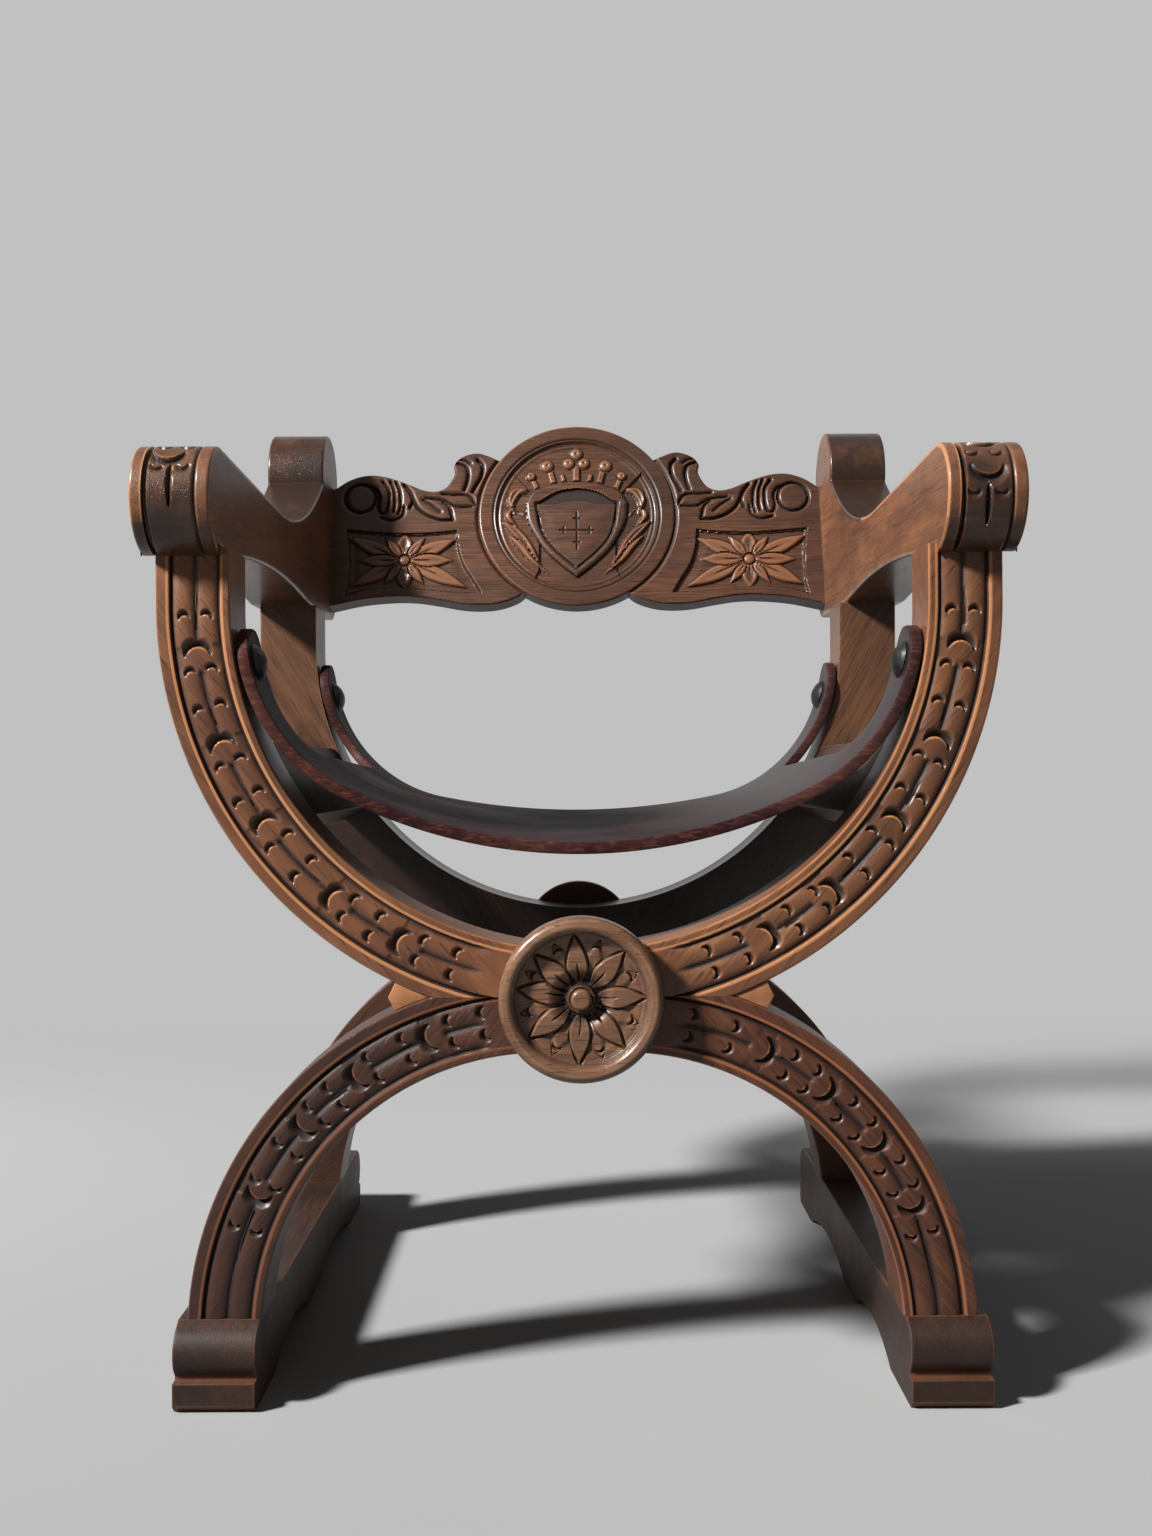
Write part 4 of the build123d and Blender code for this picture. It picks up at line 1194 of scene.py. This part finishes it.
arch = smooth_path(mirrored([(-54, 14), (-45, 28), (-25, 36), (-8, 38.6)]), 5)
arch_inner = smooth_path(mirrored([(-40, 15), (-22, 26), (-7, 29.5)]), 5)
shield_top = smooth_path(mirrored([(-42, 12.5), (-22, 13), (-8, 16)]), 5)
shield_foot = smooth_path([(54, 14), (51, -9), (36, -37), (18, -56), (0, -71)], 5)
field_foot = smooth_path([(42, 12.5), (36, -19), (22, -40), (0, -60)], 5)
shield_outline = np.vstack((arch, shield_foot, shield_foot[::-1] * (-1, 1)))
shield_field = np.vstack((shield_top, field_foot, field_foot[::-1] * (-1, 1)))
arch_hollow = np.vstack((arch_inner, shield_top[::-1]))

# Each limb of the cross is one stroke out from its middle, with a short bar across it
cross_middle = np.array((0, -18))
cross_strokes = []
for turn, reach in ((0, 18), (math.pi / 2, 20), (math.pi, 18), (-math.pi / 2, 21)):
    ahead = np.array((math.cos(turn), math.sin(turn)))
    bar_middle = cross_middle + 13.5 * ahead
    half_bar = 3.2 * np.array((-math.sin(turn), math.cos(turn)))
    cross_strokes.append(((cross_middle, cross_middle + reach * ahead), 1.3, 1.7))
    cross_strokes.append(((bar_middle + half_bar, bar_middle - half_bar), 1.3, 1.7))

# Pearls: place across and up, and radius. Stems: two ends and half width. Leaves: line and half width
pearls = (
    (-31, 57, 7.5), (31, 57, 7.5), (-8, 60, 7), (8, 60, 7), (0, 71, 7.5), (-48, 45, 5.5), (48, 45, 5.5))
crown_stems = (
    ((0, 38), (0, 54), 4.2), ((-24, 36), (-28, 51), 3.8), ((24, 36), (28, 51), 3.8),
    ((-42, 31), (-46, 40), 3.4), ((42, 31), (46, 40), 3.4),
    ((-13, 38), (-15, 45), 3.0), ((13, 38), (15, 45), 3.0))
leaves = (
    (((-53, 30), (-63, 27), (-69, 15), (-66, 2)), 6.0),
    (((-56, 2), (-66, 8), (-72, -2), (-62, -16)), 4.2),
    (((-77, -8), (-63, -20), (-50, -36), (-38, -56)), 5.5),
    (((-70, -24), (-58, -36), (-46, -52), (-30, -66)), 4.2))


def spray_and_crown(x, up, depth):
    """Cuts the leaf sprays, the stems and the pearls into a field of the given depth."""
    spots = np.column_stack((x, up))
    one_side = np.column_stack((-np.abs(x), up))
    for points, half_width in leaves:
        path = smooth_path(points, 5)
        start, end = path[0], path[-1]
        share = np.clip((one_side - start) @ (end - start) / ((end - start) @ (end - start)), 0, 1)
        gap = nearest_on(path, one_side, closed=False)[1]
        lies = half_width * (0.25 + 0.75 * np.sin(math.pi * share**0.7)) - gap
        vein = 1.4 * ease(1 - np.abs(lies - half_width) / 2.6) * (half_width > 5)
        leaf = 3.4 - 2.6 * ease(lies / 3.2) + vein
        depth = np.where(lies > 0, np.minimum(depth, leaf), np.maximum(depth, vee(-lies, 1.2, 4.8)))
    for start, end, half_width in crown_stems:
        lies = half_width - nearest_on(np.array([start, end], float), spots, closed=False)[1]
        depth = np.where(lies > 0, np.minimum(depth, 3.2 - 1.9 * ease(lies / 2)), depth)
    for pearl_x, pearl_up, size in pearls:
        away = np.hypot(x - pearl_x, up - pearl_up)
        ball = 0.7 + 3.0 * (away / size) ** 3 + 1.2 * ease(1 - away / 2.4)
        rim = np.where(away < size + 1.4, np.maximum(depth, vee(away - size, 1.4, 5.0)), depth)
        depth = np.where(away < size, ball, rim)
    return depth


def medallion_relief(x, up):
    """Depth of the carving on the medallion from its middle, and how much of it is the sunk field."""
    radius = np.hypot(x, up)
    spots = np.column_stack((x, up))
    field = 4.0 * ease((87 - radius) / 5)
    depth = np.maximum(field, vee(np.abs(radius - 87.5), 1.6, 1.6))
    depth = depth - 0.8 * ease(1 - np.abs(radius - 80) / 2.2)
    depth = spray_and_crown(x, up, depth)
    inside = inside_outline(spots, shield_outline)
    edge_gap = nearest_on(shield_outline, spots)[1]
    field_gap = nearest_on(shield_field, spots)[1]
    border = np.maximum(1.9 - 1.5 * ease(edge_gap / 3.5), vee(field_gap, 4.0, 3.8))
    plate = np.maximum(1.7 - 0.7 * ease(field_gap / 16), vee(field_gap, 1.5, 3.4))
    plate = plate + strokes_relief(cross_strokes, x, up)[0]
    shield = np.where(inside_outline(spots, shield_field), plate, border)
    shield = np.where(inside_outline(spots, arch_hollow), 3.4, shield)
    outside = np.maximum(depth, vee(edge_gap, 1.7, 5.0))
    return np.where(inside, shield, outside), 0.9 * field * ~inside


# %% Medallion
medallion_back = crest_thickness + 0.6
medallion_profile = np.vstack((
    [(0, 0)], [(100.6, 0)], arc((100.6, 2.4), 2.4, 90, 0, 8) * (1, -1) + (0, 4.8),
    [(medallion_radius, medallion_back - 1.5), (medallion_radius - 1.5, medallion_back)],
    [(0, medallion_back)]))
medallion_line = stations(medallion_profile, lambda spot: np.where(spot[:, 1] > 3, 4, 0.95))


def medallion_place(u, v, w):
    x, up, radius, depth = spun(medallion_line, u, v)
    face = depth < 0.01
    relief, field = medallion_relief(x, up)
    relief = np.where(face, relief, 0)
    wear = 0.5 * ease(1 - np.abs(radius - 102) / 2) * (depth < 4)
    return on_crest(x, medallion_z + up, depth + relief), relief - field * face, wear


medallion = carve(open_grid(640, len(medallion_line) - 1), "crest_medallion", medallion_place, crest_oak)
dress(medallion, "carved_wood", "crest_rail", wax_and_shade=0.8)

# %% [markdown]
# ## The leather seat
#
# The sling is one piece of thick saddle leather. It is cut flat, with an ear at each corner and a
# rounded scoop between the ears, and then hung: at the ears it follows the bows, and below them it runs
# across in one slow curve, a little higher at the back. The flat cut gets its thickness and rounded
# edges first. Each point then rolls onto the curve, so the leather keeps the size it was cut to.

# %% Curve of the sling
sling_half_span = 243.0
ear_z = 556.0
leather_thickness = 8.5
sling_front_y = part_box("leather_seat")[0].y / mm
sling_back_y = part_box("leather_seat")[1].y / mm
front_sag, front_shoulder = 161.0, 134.9
rear_sag, rear_shoulder = 146.0, 135.05


def sling_curve(sag, shoulder):
    """The two arcs of half a section: their centres and radii, and the turn where they meet."""
    shoulder_x = sling_half_span - shoulder
    bottom_radius = (shoulder_x**2 + sag**2 - shoulder**2) / (2 * (sag - shoulder))
    turn = math.atan2(bottom_radius - sag, shoulder_x)
    return shoulder_x, shoulder, bottom_radius, ear_z + bottom_radius - sag, turn


front_curve = sling_curve(front_sag, front_shoulder)
rear_curve = sling_curve(rear_sag, rear_shoulder)
half_bottom = front_curve[2] * (math.pi / 2 - front_curve[4])
half_shoulder = front_shoulder * front_curve[4]
half_run = half_bottom + half_shoulder
print("Half the hang:", round(half_bottom, 1), "mm of bottom and", round(half_shoulder, 1), "mm of shoulder")


def on_curve(curve, run, lift):
    """Place across and height of points on a section, from their run out from the middle and their lift."""
    shoulder_x, shoulder, bottom_radius, bottom_z, turn = curve
    out = np.abs(run)
    low = math.pi / 2 - out / half_bottom * (math.pi / 2 - turn)
    high = turn * (1 - (out - half_bottom) / half_shoulder)
    on_bottom = out < half_bottom
    angle = np.where(on_bottom, low, high)
    radius = np.where(on_bottom, bottom_radius, shoulder) - lift
    x = np.where(on_bottom, 0, shoulder_x) + radius * np.cos(angle)
    z = np.where(on_bottom, bottom_z, ear_z) - radius * np.sin(angle)
    return np.sign(run) * x, z


# %% Flat cut of the leather
ear_width, ear_round = 56.0, 26.0
scoop_drop, scoop_round = 90.0, 34.0
middle_y = (sling_front_y + sling_back_y) / 2
scoop_centre = (sling_front_y + ear_width + scoop_round, ear_z - scoop_drop + scoop_round)
ear_side = np.vstack((
    arc((sling_front_y + ear_round, ear_z - ear_round), ear_round, 180, 90, 14),
    arc((sling_front_y + ear_width - ear_round, ear_z - ear_round), ear_round, 90, 0, 14),
    arc(scoop_centre, scoop_round, 180, 270, 16)))
ear_run = half_run - front_shoulder * np.arcsin((ear_z - ear_side[:, 1]) / front_shoulder)
front_right_ear = np.column_stack((ear_run, ear_side[:, 0]))
rear_right_ear = front_right_ear[::-1] * (1, -1) + (0, 2 * middle_y)
right_side = np.vstack((front_right_ear, rear_right_ear))
leather_cut = np.vstack((right_side, right_side[::-1] * (-1, 1)))
x, y = leather_cut.T
cut_area = abs((x * np.roll(y, -1) - np.roll(x, -1) * y).sum()) / 2 * mm**2
print("Leather is cut from", round(2 * half_run), "by", round(sling_back_y - sling_front_y), "mm, area",
      round(cut_area, 4), "m2")

# %% Leather
sheet = cut_board(leather_cut, 3.2)
bmesh.ops.remove_doubles(sheet, verts=sheet.verts, dist=0.4)
outer = bmesh.ops.extrude_face_region(sheet, geom=list(sheet.faces))["geom"]
bmesh.ops.translate(sheet, verts=corners_only(outer), vec=(0, 0, leather_thickness))
bmesh.ops.recalc_face_normals(sheet, faces=sheet.faces)
# The smooth side keeps material 0, the cut edge takes 1 and the flesh side 2
for face in sheet.faces:
    if abs(face.normal.z) < 0.5:
        face.material_index = 1
    elif face.normal.z < 0:
        face.material_index = 2
inner_edges = [edge for edge in sheet.edges if len(edge.link_faces) == 2]
rims = [edge for edge in inner_edges if abs(edge.link_faces[0].normal.z - edge.link_faces[1].normal.z) > 0.7]
bmesh.ops.bevel(sheet, geom=rims, offset=1.2, segments=2, affect="EDGES", profile=0.5, material=1)
bmesh.ops.recalc_face_normals(sheet, faces=sheet.faces)
hide = put(sheet, "hung_leather", oxblood_hide, cut_hide, flesh_side)
run, y, lift = read(hide.data.vertices, "co", float, 3).reshape(-1, 3).T
lift = lift - leather_thickness / 2
share = (y - sling_front_y) / (sling_back_y - sling_front_y)
front_x, front_z = on_curve(front_curve, run, lift)
rear_x, rear_z = on_curve(rear_curve, run, lift)
hung = np.column_stack((front_x + (rear_x - front_x) * share, y, front_z + (rear_z - front_z) * share))
hide.data.vertices.foreach_set("co", (hung * mm).ravel())
settle(hide, 40)
dress(hide, "seat_leather", "leather_seat")
2 * half_run * mm

# %% [markdown]
# ## The nails
#
# Each ear hangs on one broad nail, forged of iron and blackened. A smith strikes the head in a round
# die, which leaves a low dome with small flats and dents. A turned profile gives the dome, and its
# points move in or out a little to make the dents.

# %% Iron nails
nail_radius, nail_height = 14.0, 7.0
dome_radius = (nail_radius**2 + nail_height**2) / (2 * nail_height)
dome_spread = math.degrees(math.asin(nail_radius / dome_radius))
dome = arc((0, nail_height - dome_radius), dome_radius, 90, 90 - dome_spread, 14)
nail_line = np.vstack((dome, [(nail_radius - 0.4, 0.0), (0, 0)]))


def nail_head(middle_y, shoulder, drop, side, name):
    """One domed head, lying flat on the hollow leather and facing the sitter."""
    slope = math.asin(drop / shoulder)
    reach = math.sqrt((shoulder - leather_thickness / 2) ** 2 - nail_radius**2) - 0.3
    seat = np.array((sling_half_span - shoulder + reach * math.cos(slope), ear_z - reach * math.sin(slope)))
    facing = np.array((-math.cos(slope), math.sin(slope)))

    def place(u, v, w):
        along, level, radius, height = spun(nail_line, u, v)
        turn = u * 2 * math.pi
        dent = 0.28 * np.sin(3 * turn + middle_y) * np.sin(radius * 0.7 + side) * (height > 0.5)
        height = height - np.abs(dent)
        x = seat[0] + height * facing[0] + level * facing[1]
        z = seat[1] + height * facing[1] - level * facing[0]
        return np.column_stack((side * x, middle_y + along, z)), dent, 0 * dent

    return carve(open_grid(48, len(nail_line) - 1), name, place, forged_iron)


for where, y, shoulder, drop in (
        ("front", front_y + 26.5, front_shoulder, 26.0), ("rear", front_y + 384.5, rear_shoulder, 32.0)):
    for side, hand in ((1, "right"), (-1, "left")):
        head = nail_head(y, shoulder, drop, side, f"nail_head_{where}_{hand}")
        dress(head, "nail_iron", "seat_nails")

# %% [markdown]
# ## The light
#
# The key light stands well to the left of the chair, in front of it and high above it. It is fairly
# small, so the scrolls, the arms and every cut throw clear shadows. A wide panel overhead adds very
# little, and the room is nearly dark, for fill light would wash out the carving. Where the camera looks
# past the paper it sees a paler room, as it would in a studio with grey walls.


# %% Lamps and room
def lamp(name, place, aim, size, power):
    """A square lamp that faces a point."""
    light = bpy.data.lights.new(name, "AREA")
    light.size = size
    light.energy = power
    made = bpy.data.objects.new(name, light)
    made.location = place
    made.rotation_euler = (Vector(aim) - Vector(place)).to_track_quat("-Z", "Y").to_euler()
    scene.collection.objects.link(made)


lamp("key", (-3.15, -2.1, 3.15), (0.15, 0, 0.5), 0.55, 500)
lamp("overhead", (0.3, -0.6, 3.2), (0, 0, 0.3), 2.4, 3)
world = bpy.data.worlds.new("studio")
scene.world = world
world.use_nodes = True
world.node_tree.nodes.clear()
start = Value(world.node_tree)
room = looked_at(start).mix(grey(0.045), grey(0.30))
room_light = start.node("Background", None, {"Color": room, "Strength": 1.0})
start.node("OutputWorld", None, {"Surface": room_light})
